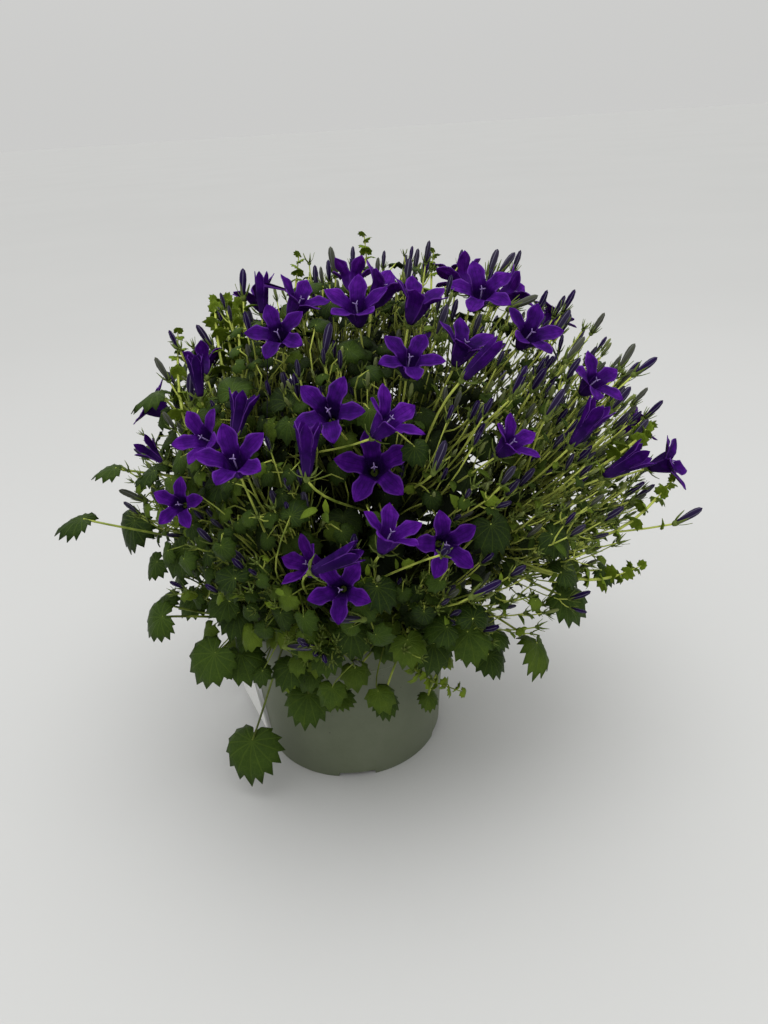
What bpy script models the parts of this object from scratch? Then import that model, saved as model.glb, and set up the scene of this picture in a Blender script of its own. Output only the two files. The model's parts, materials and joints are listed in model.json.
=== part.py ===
# Potted bellflower: a soft plastic pot of soil, a blank care card, leafy flower stems and star blooms.
import math
import random

import bmesh
import bpy
import numpy as np
from mathutils import Vector

# Pot, in metres. The origin is on its axis, level with the table.
BASE_RADIUS = 0.050
POT_HEIGHT = 0.090
WALL_TAPER = 0.08
WALL = 0.0012
BASE_THICKNESS = 0.0015
LIP_HEIGHT = 0.017
LIP_PROUD = 0.0023
EDGE_ROUND = 0.0009
POT_SIDES = 36
NOTCHES = 5
NOTCH_WIDTH = 0.020
NOTCH_HEIGHT = 0.003
NOTCH_DEPTH = 0.008
FIRST_NOTCH_ANGLE = math.radians(-88)

# Soil
GAP = 0.0003
SOIL_TOP = 0.084
SOIL_BOTTOM = 0.0045
SOIL_RINGS = (0.046, 0.034, 0.022, 0.011)
SOIL_BUMP = 0.0012
SOIL_WAVES = (310, 270)
SOIL_SIDES = 20
HOLE_RADIUS = 0.0026
HOLE_DEPTH = 0.008
HOLE_SIDES = 5

# Care card: it stands flat against the wall at this bearing, hooked over the lip
CARD_BEARING = math.radians(204.8)
CARD_NEAR = 0.006
CARD_FAR = 0.052
CARD_FOOT = 0.004
CARD_TOP = 0.0915
CARD_THICK = 0.0008
CARD_FOOT_OUT = 0.0512
CARD_TOP_OUT = 0.0606
TONGUE_WIDTH = 0.010
TONGUE_IN = 0.0500
TONGUE_RISE = 0.0016
TONGUE_FOOT = 0.070
CARD_BALL = 0.003
TONGUE_BALL = 0.005

# Crown: the ellipsoid that the blooms open on, leaning towards +X over the pot
CROWN_CENTRE = Vector((0.030, 0.003, 0.163))
CROWN_RADII = Vector((0.128, 0.112, 0.102))

# Viewpoint that the marks below were read from: pixels of a 768 x 1024 frame, and metres
FOCAL_PIXELS = 800
CENTRE_PIXEL = (382.5, 474.0)
EYE = Vector((0.0258, -0.382, 0.327))
PITCH = math.radians(24)
ROLL = math.radians(-3.7)

# Stems fan out from a point under the soil, lean with the crown and droop towards its edge
APEX = Vector((0, 0, 0.058))
LEAN = 0.30
DROOP = 5.0
DROOP_FROM = 0.045
FAN_ANGLE = math.radians(61)
LEAFY_STEMS = 14
TRUNK_RADIUS = 0.0012
TRUNK_TIP_RADIUS = 0.0009
TRUNK_REACH = 0.66
BRANCH_FROM = 0.16
BRANCH_TO = 0.97
BRANCH_SPACING = 0.0035
ROOT_REACH = 0.009
STEM_RADIUS = 0.0008
STEM_SIDES = 3
TWIG_RADIUS = 0.00065
TRUNK_STEPS = 6
STEM_STEPS = 3
TWIG_STEPS = 2
CLEARANCE = 0.0004
STEM_BALL_STEP = 0.002
TABLE_CLEAR = 0.004
TRUNK_SHORTEST = 0.08
TRUNK_PACE = 0.004
ROOT_CLEAR = 0.002
ROOT_UPRIGHT = 0.004
BRANCH_LEAVE = 0.38
BRANCH_ARRIVE = (0.15, 0.35)
STALK = dict(steps=STEM_STEPS, radius=STEM_RADIUS)
TWIG = dict(steps=TWIG_STEPS, radius=TWIG_RADIUS)
BUD_TWIG = dict(steps=STEM_STEPS, radius=TWIG_RADIUS)

# Bloom
BLOOM_PETALS = 5
FUNNEL = 0.0110
FUNNEL_BASE = 0.0017
THROAT_RADIUS = 0.0052
PETAL_LENGTH = 0.0125
PETAL_WIDTH = 0.0096
PETAL_THICK = 0.0007
PETAL_SHUT = -6
PETAL_OPEN = 74
PETAL_TUCK = -10
PETAL_CURL = 24
PETAL_KEEL = 0.0010
SHUT_THROAT = 0.62
SHUT_TURN = 0.8
HALF_OPEN = 0.5
PETAL_STEPS = 4
PETAL_LEAST_OUT = 0.001
PETAL_WIDEST = 0.35
PETAL_ROOT_WIDTH = 0.80
PETAL_POINT = 0.8
PETAL_EDGE = 0.96
SHUT_EDGE = 0.45
BLOOM_BALLS = ((0.15, 0.0026), (0.4, 0.0034), (0.7, 0.0048), (1.0, 0.0058))
PETAL_BALLS = (
    (0.22, 0.0, 0.0042), (0.45, 0.7, 0.0026), (0.45, -0.7, 0.0026), (0.6, 0.0, 0.0038), (0.8, 0.0, 0.0030),
    (1.0, 0.0, 0.0016),
)
CALYX_GAP = 0.0015
CALYX_RADIUS = 0.0021
CALYX_SPIKE = 0.0075
CALYX_RISE = 0.0024
CALYX_HEART = 0.0001
CALYX_DEPTH = 0.0006
CALYX_BALL = 0.0022
SPIKE_BALLS = ((0.45, 0.0012), (0.7, 0.0009), (0.97, 0.0005))

# Bud
BUD_LENGTH = 0.0165
BUD_RADIUS = 0.0026
BUD_CALYX = 0.8
BUD_SPIN = 0.3
BUD_RINGS = ((0.03, 0.55), (0.40, 1.0))
BUD_BALLS = ((0.25, 0.0026), (0.5, 0.0026), (0.75, 0.0026), (1.0, 0.001))

# Leaf
LEAF_THICK = 0.0008
LEAF_TEETH = ((0.0145, 3), (0.0165, 5), (0.1, 7))
TOOTH_NOTCH = 0.84
LOBE_ANGLE = 148
BLADE_HEART = 0.30
LEAF_REACH = (
    (0, 1.0), (30, 0.94), (60, 0.84), (90, 0.77), (120, 0.67), (150, 0.52), (170, 0.26), (180, 0.05),
)
LEAF_CUP = 0.30
LEAF_ROLL = 0.9
LEAF_DROOP = 0.5
LEAF_HOLD = 0.35
LEAF_BALL = 0.0019
LEAF_BALL_STEP = 0.0027
LEAF_SPARE = 0.0008
LEAF_NECK = 0.7

# Blooms seen from the front: the pixel of the throat, the way it faces (right, up, towards the eye),
# how far it has opened from bud 0 to star 1, its size against the usual one, how deep it sits, and
# the pixel of one petal's tip where it shows
SEEN_BLOOMS = [
    dict(at=(277, 332), face=(-0.1, 0.35, 0.93), opened=1.0, size=0.92),
    dict(at=(301, 299), face=(0.5, 0.7, 0.5), opened=0.8, size=0.95),
    dict(at=(262, 291), face=(0.0, 1.0, 0.2), opened=0.15, size=0.95),
    dict(at=(356, 304), face=(-0.1, 0.6, 0.75), opened=0.8, size=1.05),
    dict(at=(381, 286), face=(0.45, 0.8, 0.3), opened=0.7, size=1.0),
    dict(at=(352, 276), face=(0.0, 0.9, -0.3), opened=0.7, size=0.9, deep=0.03),
    dict(at=(408, 290), face=(0.3, 0.8, 0.4), opened=0.7, size=1.0),
    dict(at=(482, 289), face=(0.0, 0.5, 0.87), opened=1.0, size=1.05, tip=(474, 258)),
    dict(at=(460, 276), face=(-0.4, 0.8, -0.3), opened=0.8, size=1.0, deep=0.03),
    dict(at=(513, 292), face=(0.85, 0.45, 0.2), opened=0.7, size=0.95),
    dict(at=(466, 342), face=(0.35, 0.75, 0.5), opened=0.8, size=1.0),
    dict(at=(410, 357), face=(0.1, 0.6, 0.75), opened=1.0, size=0.95, tip=(437, 362)),
    dict(at=(532, 332), face=(0.35, 0.45, 0.8), opened=0.85, size=1.0),
    dict(at=(488, 356), face=(0.68, 0.7, 0.2), opened=0.1, size=1.0),
    dict(at=(597, 380), face=(0.45, 0.45, 0.75), opened=0.95, size=0.95),
    dict(at=(592, 421), face=(0.5, 0.75, 0.3), opened=0.3, size=1.05),
    dict(at=(514, 441), face=(0.55, 0.55, 0.6), opened=0.8, size=0.85),
    dict(at=(628, 463), face=(0.8, 0.5, 0.2), opened=0.3, size=1.1),
    dict(at=(672, 462), face=(0.8, 0.25, 0.5), opened=0.9, size=1.0, tip=(655, 433)),
    dict(at=(328, 410), face=(-0.1, 0.35, 0.95), opened=1.0, size=1.0, tip=(296, 383)),
    dict(at=(388, 416), face=(0.6, 0.6, 0.5), opened=0.8, size=1.0),
    dict(at=(367, 462), face=(0.0, 0.2, 0.98), opened=1.0, size=1.1, tip=(361, 422)),
    dict(at=(301, 451), face=(0.05, 1.0, 0.2), opened=0.25, size=1.0),
    dict(at=(201, 437), face=(-0.5, 0.3, 0.8), opened=0.85, size=0.95),
    dict(at=(235, 449), face=(-0.05, 0.5, 0.8), opened=0.85, size=1.05),
    dict(at=(237, 418), face=(0.2, 0.9, 0.0), opened=0.35, size=0.95, deep=0.015),
    dict(at=(178, 504), face=(-0.15, 0.1, 0.98), opened=1.0, size=0.78, tip=(180, 487)),
    dict(at=(392, 533), face=(0.35, 0.75, 0.5), opened=0.8, size=0.95),
    dict(at=(450, 542), face=(0.25, 0.05, 0.95), opened=1.0, size=0.95, tip=(441, 504)),
    dict(at=(340, 590), face=(-0.1, 0.1, 0.98), opened=0.95, size=0.92, tip=(319, 560)),
    dict(at=(305, 566), face=(-0.7, 0.4, 0.5), opened=0.7, size=0.95),
    dict(at=(340, 550), face=(0.85, 0.4, 0.2), opened=0.2, size=1.0),
    dict(at=(197, 374), face=(-0.1, 0.9, 0.2), opened=0.2, size=0.9),
    dict(at=(203, 362), face=(-0.3, 0.8, -0.5), opened=0.7, size=0.85, deep=0.04),
    dict(at=(152, 452), face=(-0.7, 0.5, -0.3), opened=0.4, size=0.8, deep=0.03),
]

# Blooms on the far side, which the photo hides: bearings from first to last, and heights in degrees
FAR_BLOOMS = 8
FAR_FROM = math.radians(-3)
FAR_TO = math.radians(183)
FAR_HEIGHTS = (8, 38, 58, 24)

# Buds seen from the front: the pixel of the bud's middle and the way it points
SEEN_BUDS = [
    dict(at=(302, 647), points=(0.98, 0.05, 0.2)),
    dict(at=(345, 619), points=(-0.98, 0.05, 0.2)),
    dict(at=(488, 588), points=(0.85, 0.5, 0.2)),
    dict(at=(690, 515), points=(0.8, 0.5, 0.2)),
    dict(at=(245, 281), points=(0.0, 1.0, 0.1)),
    dict(at=(328, 338), points=(0.2, 0.97, 0.3)),
    dict(at=(407, 268), points=(0.1, 1.0, 0.1)),
    dict(at=(423, 269), points=(0.2, 1.0, 0.0)),
    dict(at=(491, 261), points=(0.3, 0.9, 0.0)),
    dict(at=(507, 264), points=(0.6, 0.8, 0.0)),
    dict(at=(526, 298), points=(0.9, 0.4, 0.1)),
    dict(at=(563, 322), points=(0.5, 0.85, 0.1)),
    dict(at=(628, 355), points=(0.5, 0.85, 0.1)),
    dict(at=(645, 367), points=(0.8, 0.6, 0.0)),
    dict(at=(640, 430), points=(0.6, 0.8, 0.1)),
    dict(at=(440, 455), points=(0.3, 0.9, 0.4)),
    dict(at=(190, 388), points=(0.0, 1.0, 0.1)),
    dict(at=(365, 243), points=(-0.1, 1.0, 0.0), deep=0.06),
    dict(at=(298, 264), points=(0.1, 1.0, 0.0), deep=0.04),
    dict(at=(433, 259), points=(0.1, 1.0, 0.0), deep=0.06),
    dict(at=(578, 350), points=(0.6, 0.8, 0.0)),
    dict(at=(448, 322), points=(0.3, 0.95, 0.2)),
    dict(at=(520, 380), points=(0.4, 0.9, 0.2)),
    dict(at=(556, 402), points=(0.5, 0.85, 0.2)),
    dict(at=(622, 398), points=(0.6, 0.8, 0.1)),
    dict(at=(180, 340), points=(0.0, 1.0, 0.0)),
]

# Leaves seen from the front: the pixel of the blade's middle, the way its tip points in the picture
# in degrees from right, the way its face looks, and its length
SEEN_LEAVES = [
    dict(at=(72, 519), tip=175, face=(0.0, 0.9, 0.4), length=0.014),
    dict(at=(106, 468), tip=170, face=(0.0, 0.9, 0.35), length=0.012),
    dict(at=(142, 471), tip=150, face=(-0.2, 0.8, 0.5), length=0.012, deep=0.006),
    dict(at=(131, 533), tip=250, face=(-0.4, 0.3, 0.8), length=0.016),
    dict(at=(151, 567), tip=220, face=(-0.4, 0.4, 0.8), length=0.010),
    dict(at=(153, 621), tip=200, face=(-0.3, 0.4, 0.85), length=0.0135),
    dict(at=(163, 594), tip=110, face=(-0.4, 0.5, 0.7), length=0.010, deep=0.010),
    dict(at=(176, 558), tip=240, face=(-0.3, 0.4, 0.85), length=0.014, deep=0.008),
    dict(at=(187, 606), tip=230, face=(-0.2, 0.5, 0.85), length=0.012, deep=0.008),
    dict(at=(206, 664), tip=235, face=(-0.2, 0.4, 0.9), length=0.017),
    dict(at=(244, 664), tip=290, face=(0.0, 0.5, 0.85), length=0.015, deep=0.004),
    dict(at=(227, 633), tip=260, face=(0.0, 0.6, 0.8), length=0.012, deep=0.004),
    dict(at=(219, 604), tip=200, face=(0.0, 0.5, 0.85), length=0.012, deep=0.014),
    dict(at=(229, 572), tip=130, face=(-0.1, 0.5, 0.85), length=0.011),
    dict(at=(154, 399), tip=165, face=(-0.2, 0.9, 0.35), length=0.015),
    dict(at=(222, 384), tip=100, face=(-0.2, 0.4, 0.85), length=0.012),
    dict(at=(286, 391), tip=80, face=(0.0, 0.5, 0.8), length=0.0135, deep=0.012),
    dict(at=(212, 484), tip=200, face=(-0.2, 0.5, 0.85), length=0.0105, deep=0.008),
    dict(at=(338, 524), tip=265, face=(0.0, 0.45, 0.9), length=0.0125, deep=0.010),
    dict(at=(286, 673), tip=250, face=(0.0, 0.5, 0.85), length=0.012),
    dict(at=(326, 660), tip=270, face=(0.0, 0.5, 0.85), length=0.012, deep=0.004),
    dict(at=(356, 640), tip=290, face=(0.1, 0.5, 0.85), length=0.012, deep=0.006),
    dict(at=(385, 597), tip=300, face=(0.1, 0.5, 0.85), length=0.011, deep=0.008),
    dict(at=(410, 650), tip=280, face=(0.0, 0.5, 0.85), length=0.012, deep=0.006),
    dict(at=(433, 656), tip=260, face=(0.1, 0.5, 0.85), length=0.013),
    dict(at=(438, 630), tip=200, face=(0.0, 0.6, 0.8), length=0.011, deep=0.006),
    dict(at=(470, 612), tip=90, face=(0.1, 0.6, 0.8), length=0.011, deep=0.008),
    dict(at=(472, 644), tip=280, face=(0.1, 0.5, 0.85), length=0.015),
    dict(at=(495, 662), tip=300, face=(0.2, 0.5, 0.8), length=0.012, deep=0.008),
    dict(at=(497, 632), tip=350, face=(0.2, 0.7, 0.6), length=0.010, deep=0.012),
    dict(at=(541, 652), tip=250, face=(0.6, 0.6, 0.5), length=0.015),
    dict(at=(573, 600), tip=335, face=(0.2, 0.6, 0.75), length=0.016),
    dict(at=(608, 574), tip=320, face=(0.2, 0.6, 0.75), length=0.009),
    dict(at=(569, 570), tip=30, face=(0.2, 0.6, 0.75), length=0.011, deep=0.006),
    dict(at=(561, 541), tip=320, face=(0.2, 0.5, 0.8), length=0.012, deep=0.010),
    dict(at=(493, 535), tip=270, face=(0.1, 0.5, 0.85), length=0.013, deep=0.014),
]

# Leaves that hang over the lip, with the blade's middle in the picture and how far it is in front of
# the pot's axis
HANGING_LEAVES = [
    dict(at=(249, 756), tip=268, face=(-0.25, 0.45, 0.85), length=0.021, front=0.062),
    dict(at=(306, 706), tip=262, face=(0.0, 0.5, 0.85), length=0.016, front=0.066),
    dict(at=(345, 698), tip=350, face=(0.0, 0.7, 0.7), length=0.009, front=0.068),
    dict(at=(387, 706), tip=285, face=(0.1, 0.5, 0.85), length=0.010, front=0.066),
    dict(at=(430, 701), tip=280, face=(0.2, 0.5, 0.8), length=0.008, front=0.052),
]

# A skirt of leaves over the lip, on the sides that the marks leave bare
SKIRT_LEAVES = 10
SKIRT_FROM = math.radians(-12)
SKIRT_TO = math.radians(192)
SKIRT_OUT = 0.070
SKIRT_HEIGHT = 0.104
SKIRT_LENGTHS = (0.014, 0.018)
FLOOR_LEAVES = 5
FLOOR_OUT = 0.030
FLOOR_HEIGHT = 0.110
FLOOR_LENGTHS = (0.012, 0.016)

# Leaves and buds by rule, for the sides that the photo hides and between the marked ones
RULE_LEAVES = 18
RULE_FROM = math.radians(-12)
RULE_TO = math.radians(192)
RULE_LENGTHS = (0.0125, 0.0144)
RULE_BUDS = 12
GOLDEN_TURN = math.radians(137.508)
GOLDEN_SHARE = 0.618034

# How often a piece is tried again, and how much further it may move each time
BLOOM_SEED = 11
PLANT_SEED = 1
BLOOM_OWNER = 100
CARD_OWNER = 99
BLOOM_TRIES = 80
BLOOM_SHIFT = 0.0006
LEAF_TRIES = 26
BUD_TRIES = 22
PIECE_SHIFT = 0.0006
DEPTH_SHIFT = 3.0
BRANCH_TRIES = 40
BRANCH_WANDER = 0.012
STALK_STUB = 0.008
NEAR_STEMS = 7


def clear_scene():
    for found in list(bpy.data.objects):
        bpy.data.objects.remove(found, do_unlink=True)


def material(name, colour, roughness, metallic=0.0):
    made = bpy.data.materials.new(name)
    made.use_nodes = True
    shader = made.node_tree.nodes["Principled BSDF"]
    shader.inputs["Base Color"].default_value = (*colour, 1.0)
    shader.inputs["Roughness"].default_value = roughness
    shader.inputs["Metallic"].default_value = metallic
    return made


def mesh_object(name, shape, surface):
    points, faces = shape
    mesh = bpy.data.meshes.new(name)
    mesh.from_pydata([tuple(point) for point in points], [], faces)
    mesh.materials.append(surface)
    made = bpy.data.objects.new(name, mesh)
    bpy.context.scene.collection.objects.link(made)
    return made


def shade_round(made, angle=math.radians(35)):
    made.data.shade_smooth()
    made.data.set_sharp_from_angle(angle=angle)


def turned(profile, sides):
    # A profile from pole to pole of (radius, height), turned about Z
    points = [Vector((0, 0, profile[0][1]))]
    faces = []
    for radius, height in profile[1:-1]:
        for k in range(sides):
            angle = 2 * math.pi * k / sides
            points.append(Vector((radius * math.cos(angle), radius * math.sin(angle), height)))
    points.append(Vector((0, 0, profile[-1][1])))
    rings = len(profile) - 2
    last = len(points) - 1
    for k in range(sides):
        after = (k + 1) % sides
        faces.append((0, 1 + after, 1 + k))
        for ring in range(rings - 1):
            low = 1 + ring * sides
            high = low + sides
            faces.append((low + k, low + after, high + after, high + k))
        top = 1 + (rings - 1) * sides
        faces.append((last, top + k, top + after))
    return points, faces


def wall_radius(height):
    return BASE_RADIUS + WALL_TAPER * height


def box(corner, opposite):
    # Corner points of a box, with faces that look outwards
    points = [
        Vector((x, y, z))
        for x in (corner[0], opposite[0])
        for y in (corner[1], opposite[1])
        for z in (corner[2], opposite[2])
    ]
    faces = [(0, 1, 3, 2), (4, 6, 7, 5), (0, 4, 5, 1), (2, 3, 7, 6), (0, 2, 6, 4), (1, 5, 7, 3)]
    return points, faces


def cut_away(target, cutters):
    group = bpy.data.collections.new(target.name + "_cutters")
    bpy.context.scene.collection.children.link(group)
    for cutter in cutters:
        bpy.context.scene.collection.objects.unlink(cutter)
        group.objects.link(cutter)
        cutter.hide_render = True
        cutter.display_type = "WIRE"
    cut = target.modifiers.new("cut", "BOOLEAN")
    cut.operation = "DIFFERENCE"
    cut.operand_type = "COLLECTION"
    cut.collection = group


def build_pot(surface):
    lip_low = POT_HEIGHT - LIP_HEIGHT
    lip_out = wall_radius(POT_HEIGHT) + LIP_PROUD
    inner_top = wall_radius(POT_HEIGHT) - WALL
    profile = [
        (0, 0),
        (BASE_RADIUS - EDGE_ROUND, 0),
        (BASE_RADIUS, EDGE_ROUND),
        (wall_radius(lip_low), lip_low),
        (wall_radius(lip_low) + LIP_PROUD, lip_low + EDGE_ROUND),
        (lip_out, POT_HEIGHT - EDGE_ROUND),
        (lip_out - EDGE_ROUND, POT_HEIGHT),
        (inner_top + EDGE_ROUND, POT_HEIGHT),
        (inner_top, POT_HEIGHT - EDGE_ROUND),
        (wall_radius(BASE_THICKNESS) - WALL, BASE_THICKNESS),
        (0, BASE_THICKNESS),
    ]
    pot = mesh_object("pot", turned(profile, POT_SIDES), surface)
    shade_round(pot)
    cutters = []
    for k in range(NOTCHES):
        near = BASE_RADIUS - NOTCH_DEPTH
        far = BASE_RADIUS + NOTCH_DEPTH
        half = NOTCH_WIDTH / 2
        shape = box((near, -half, -NOTCH_HEIGHT), (far, half, NOTCH_HEIGHT))
        cutter = mesh_object("notch_cutter_%d" % (k + 1), shape, surface)
        cutter.rotation_euler.z = FIRST_NOTCH_ANGLE + 2 * math.pi * k / NOTCHES
        cutters.append(cutter)
    cut_away(pot, cutters)


def card_axes():
    outward = Vector((math.cos(CARD_BEARING), math.sin(CARD_BEARING), 0))
    along = Vector((outward.y, -outward.x, 0))
    return outward, along


def card_out(height):
    # Distance of the card's inner face from the pot's axis
    share = (height - CARD_FOOT) / (CARD_TOP - CARD_FOOT)
    return CARD_FOOT_OUT + share * (CARD_TOP_OUT - CARD_FOOT_OUT)


def build_card(surface):
    outward, along = card_axes()
    top_inner = card_out(CARD_TOP)
    bend = CARD_TOP + TONGUE_RISE
    # Pairs of inner and outer points (distance out, height), from the card's foot to the tongue's
    pairs = [
        ((card_out(CARD_FOOT), CARD_FOOT), (card_out(CARD_FOOT) + CARD_THICK, CARD_FOOT)),
        ((top_inner, CARD_TOP), (top_inner + CARD_THICK, CARD_TOP)),
        ((top_inner, bend - CARD_THICK), (top_inner + CARD_THICK, bend)),
        ((TONGUE_IN + CARD_THICK, bend - CARD_THICK), (TONGUE_IN, bend)),
        ((TONGUE_IN + CARD_THICK, TONGUE_FOOT), (TONGUE_IN, TONGUE_FOOT)),
    ]
    stations = (CARD_NEAR, CARD_NEAR + TONGUE_WIDTH, CARD_FAR)
    points = []
    at = {}
    for place, distance in enumerate(stations):
        for row, pair in enumerate(pairs[:2] if distance == CARD_FAR else pairs):
            for side, (out, height) in enumerate(pair):
                at[place, row, side] = len(points)
                points.append(outward * out + along * distance + Vector((0, 0, height)))
    # Each strip of the near column, then the wide panel beside its lowest strip, then the ends
    faces = []
    for row in range(len(pairs) - 1):
        faces.append((at[0, row, 0], at[0, row, 1], at[0, row + 1, 1], at[0, row + 1, 0]))
        if row > 0:
            faces.append((at[1, row, 1], at[1, row, 0], at[1, row + 1, 0], at[1, row + 1, 1]))
        for side in (0, 1):
            faces.append((at[0, row, side], at[0, row + 1, side], at[1, row + 1, side], at[1, row, side]))
    for side in (0, 1):
        faces.append((at[1, 0, side], at[1, 1, side], at[2, 1, side], at[2, 0, side]))
    for place in (0, 1):
        faces.append((at[place, 0, 1], at[place, 0, 0], at[place + 1, 0, 0], at[place + 1, 0, 1]))
    faces.append((at[1, 1, 0], at[1, 1, 1], at[2, 1, 1], at[2, 1, 0]))
    faces.append((at[2, 0, 1], at[2, 0, 0], at[2, 1, 0], at[2, 1, 1]))
    faces.append((at[0, 4, 0], at[0, 4, 1], at[1, 4, 1], at[1, 4, 0]))
    card = mesh_object("care_card", (points, faces), surface)
    face_outwards(card)


def face_outwards(made):
    shape = bmesh.new()
    shape.from_mesh(made.data)
    bmesh.ops.recalc_face_normals(shape, faces=shape.faces)
    if shape.calc_volume(signed=True) < 0:
        bmesh.ops.reverse_faces(shape, faces=shape.faces)
    shape.to_mesh(made.data)
    shape.free()


def build_soil(surface, roots):
    edge = wall_radius(SOIL_TOP) - WALL - GAP
    foot = wall_radius(SOIL_BOTTOM) - WALL - GAP
    profile = [(0, SOIL_BOTTOM), (foot, SOIL_BOTTOM), (edge, SOIL_TOP)]
    profile += [(radius, SOIL_TOP) for radius in SOIL_RINGS]
    profile.append((0, SOIL_TOP))
    points, faces = turned(profile, SOIL_SIDES)
    for point in points:
        if point.z == SOIL_TOP and point.xy.length < edge - GAP:
            wave = math.sin(SOIL_WAVES[0] * point.x) * math.cos(SOIL_WAVES[1] * point.y)
            point.z += SOIL_BUMP * wave
    soil = mesh_object("soil", (points, faces), surface)
    cutters = []
    for root in roots:
        profile = [(0, -HOLE_DEPTH), (HOLE_RADIUS, -HOLE_DEPTH), (HOLE_RADIUS, HOLE_DEPTH), (0, HOLE_DEPTH)]
        cutter = mesh_object("root_cutter", turned(profile, HOLE_SIDES), surface)
        cutter.location = (root.x, root.y, SOIL_TOP)
        cutters.append(cutter)
    outward, _ = card_axes()
    near = TONGUE_IN - 2 * GAP
    side = (CARD_NEAR - 2 * GAP, CARD_NEAR + TONGUE_WIDTH + 2 * GAP)
    shape = box((near, -side[1], TONGUE_FOOT - 2 * GAP), (BASE_RADIUS * 2, -side[0], POT_HEIGHT))
    slot = mesh_object("card_cutter", shape, surface)
    slot.rotation_euler.z = math.atan2(outward.y, outward.x)
    cutters.append(slot)
    cut_away(soil, cutters)


def picture_axes():
    # Right, up and towards the eye, as the picture shows them
    right = Vector((1, 0, 0))
    up = Vector((0, math.sin(PITCH), math.cos(PITCH)))
    back = Vector((0, -math.cos(PITCH), math.sin(PITCH)))
    level = math.cos(ROLL) * right + math.sin(ROLL) * up
    upright = -math.sin(ROLL) * right + math.cos(ROLL) * up
    return level, upright, back


def facing(way):
    level, upright, back = picture_axes()
    return (way[0] * level + way[1] * upright + way[2] * back).normalized()


def sight_line(pixel):
    level, upright, back = picture_axes()
    x = pixel[0] - CENTRE_PIXEL[0]
    y = pixel[1] - CENTRE_PIXEL[1]
    return (level * x - upright * y - back * FOCAL_PIXELS).normalized()


def crown_point(pixel, deep=0.0):
    # Where the sight line through a pixel meets the crown, or passes closest to it
    line = sight_line(pixel)
    start = Vector([(EYE - CROWN_CENTRE)[i] / CROWN_RADII[i] for i in range(3)])
    step = Vector([line[i] / CROWN_RADII[i] for i in range(3)])
    a = step.dot(step)
    b = start.dot(step)
    c = start.dot(start) - 1
    reach = (-b - math.sqrt(max(0.0, b * b - a * c))) / a
    return EYE + line * (reach + deep)


def front_point(pixel, front):
    # Where the sight line through a pixel meets the upright plane that far in front of the pot's axis
    line = sight_line(pixel)
    return EYE + line * ((-front - EYE.y) / line.y)


def to_straight(point):
    # Undoes the crown's lean and droop, so that stems become straight rays from the apex
    x = point.x - LEAN * (point.z - SOIL_TOP)
    over = max(0.0, math.hypot(x, point.y) - DROOP_FROM)
    return Vector((x, point.y, point.z + DROOP * over * over))


def to_world(point):
    over = max(0.0, math.hypot(point.x, point.y) - DROOP_FROM)
    z = point.z - DROOP * over * over
    return Vector((point.x + LEAN * (z - SOIL_TOP), point.y, z))


def upright_to(direction):
    # A unit vector square to a direction, as upright as it can be
    base = Vector((0, 0, 1)) if abs(direction.z) < 0.95 else Vector((0, 1, 0))
    return (base - direction * base.dot(direction)).normalized()


def curve_points(start, leave, arrive, end, steps):
    points = []
    for i in range(steps + 1):
        t = i / steps
        s = 1 - t
        points.append(s**3 * start + 3 * s * s * t * leave + 3 * s * t * t * arrive + t**3 * end)
    return points


def blade_reach(angle):
    # Reach of a leaf's edge from its stalk, as a share of its length, at an angle from its tip
    for (low, near), (high, far) in zip(LEAF_REACH, LEAF_REACH[1:]):
        if angle <= high:
            return near + (far - near) * (angle - low) / (high - low)
    return LEAF_REACH[-1][1]


def blade_height(x, y, length):
    # A blade is cupped along its midrib and droops towards its edges
    return LEAF_CUP * abs(x) - (LEAF_ROLL * x * x + LEAF_DROOP * y * y) / length


class Crowd:
    # Balls that stand for what has been placed, each with its owner, to keep new pieces clear

    def __init__(self):
        self.centres = np.zeros((0, 3))
        self.radii = np.zeros(0)
        self.owners = np.zeros(0, int)

    def add(self, balls, owner):
        self.centres = np.vstack([self.centres, [tuple(centre) for centre, _ in balls]])
        self.radii = np.concatenate([self.radii, [radius for _, radius in balls]])
        self.owners = np.concatenate([self.owners, np.full(len(balls), owner)])

    def crossed(self, balls, allowed):
        if not balls:
            return False
        if any(meets_pot(centre, radius) for centre, radius in balls):
            return True
        centres = np.array([tuple(centre) for centre, _ in balls])
        radii = np.array([radius for _, radius in balls])
        middle = centres.mean(axis=0)
        reach = (np.linalg.norm(centres - middle, axis=1) + radii).max() + CLEARANCE
        near = np.linalg.norm(self.centres - middle, axis=1) < reach + self.radii
        near &= ~np.isin(self.owners, allowed)
        if not near.any():
            return False
        apart = np.linalg.norm(centres[:, None] - self.centres[near][None], axis=2)
        return bool((apart < radii[:, None] + self.radii[near][None] + CLEARANCE).any())


def meets_pot(centre, radius):
    out = math.hypot(centre.x, centre.y)
    if centre.z - radius > POT_HEIGHT + CLEARANCE:
        return False
    lip_out = wall_radius(POT_HEIGHT) + LIP_PROUD
    if out < wall_radius(SOIL_TOP) - WALL - radius - CLEARANCE:
        return centre.z - radius < SOIL_TOP + SOIL_BUMP + CLEARANCE
    if centre.z > POT_HEIGHT - LIP_HEIGHT - radius:
        return out < lip_out + radius + CLEARANCE
    if centre.z < TABLE_CLEAR + radius:
        return True
    return out < wall_radius(centre.z) + radius + CLEARANCE


def stem_balls(points, radius):
    balls = []
    for a, b in zip(points, points[1:]):
        count = max(1, math.ceil((b - a).length / STEM_BALL_STEP))
        balls += [(a.lerp(b, k / count), radius) for k in range(count + 1)]
    return balls


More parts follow.
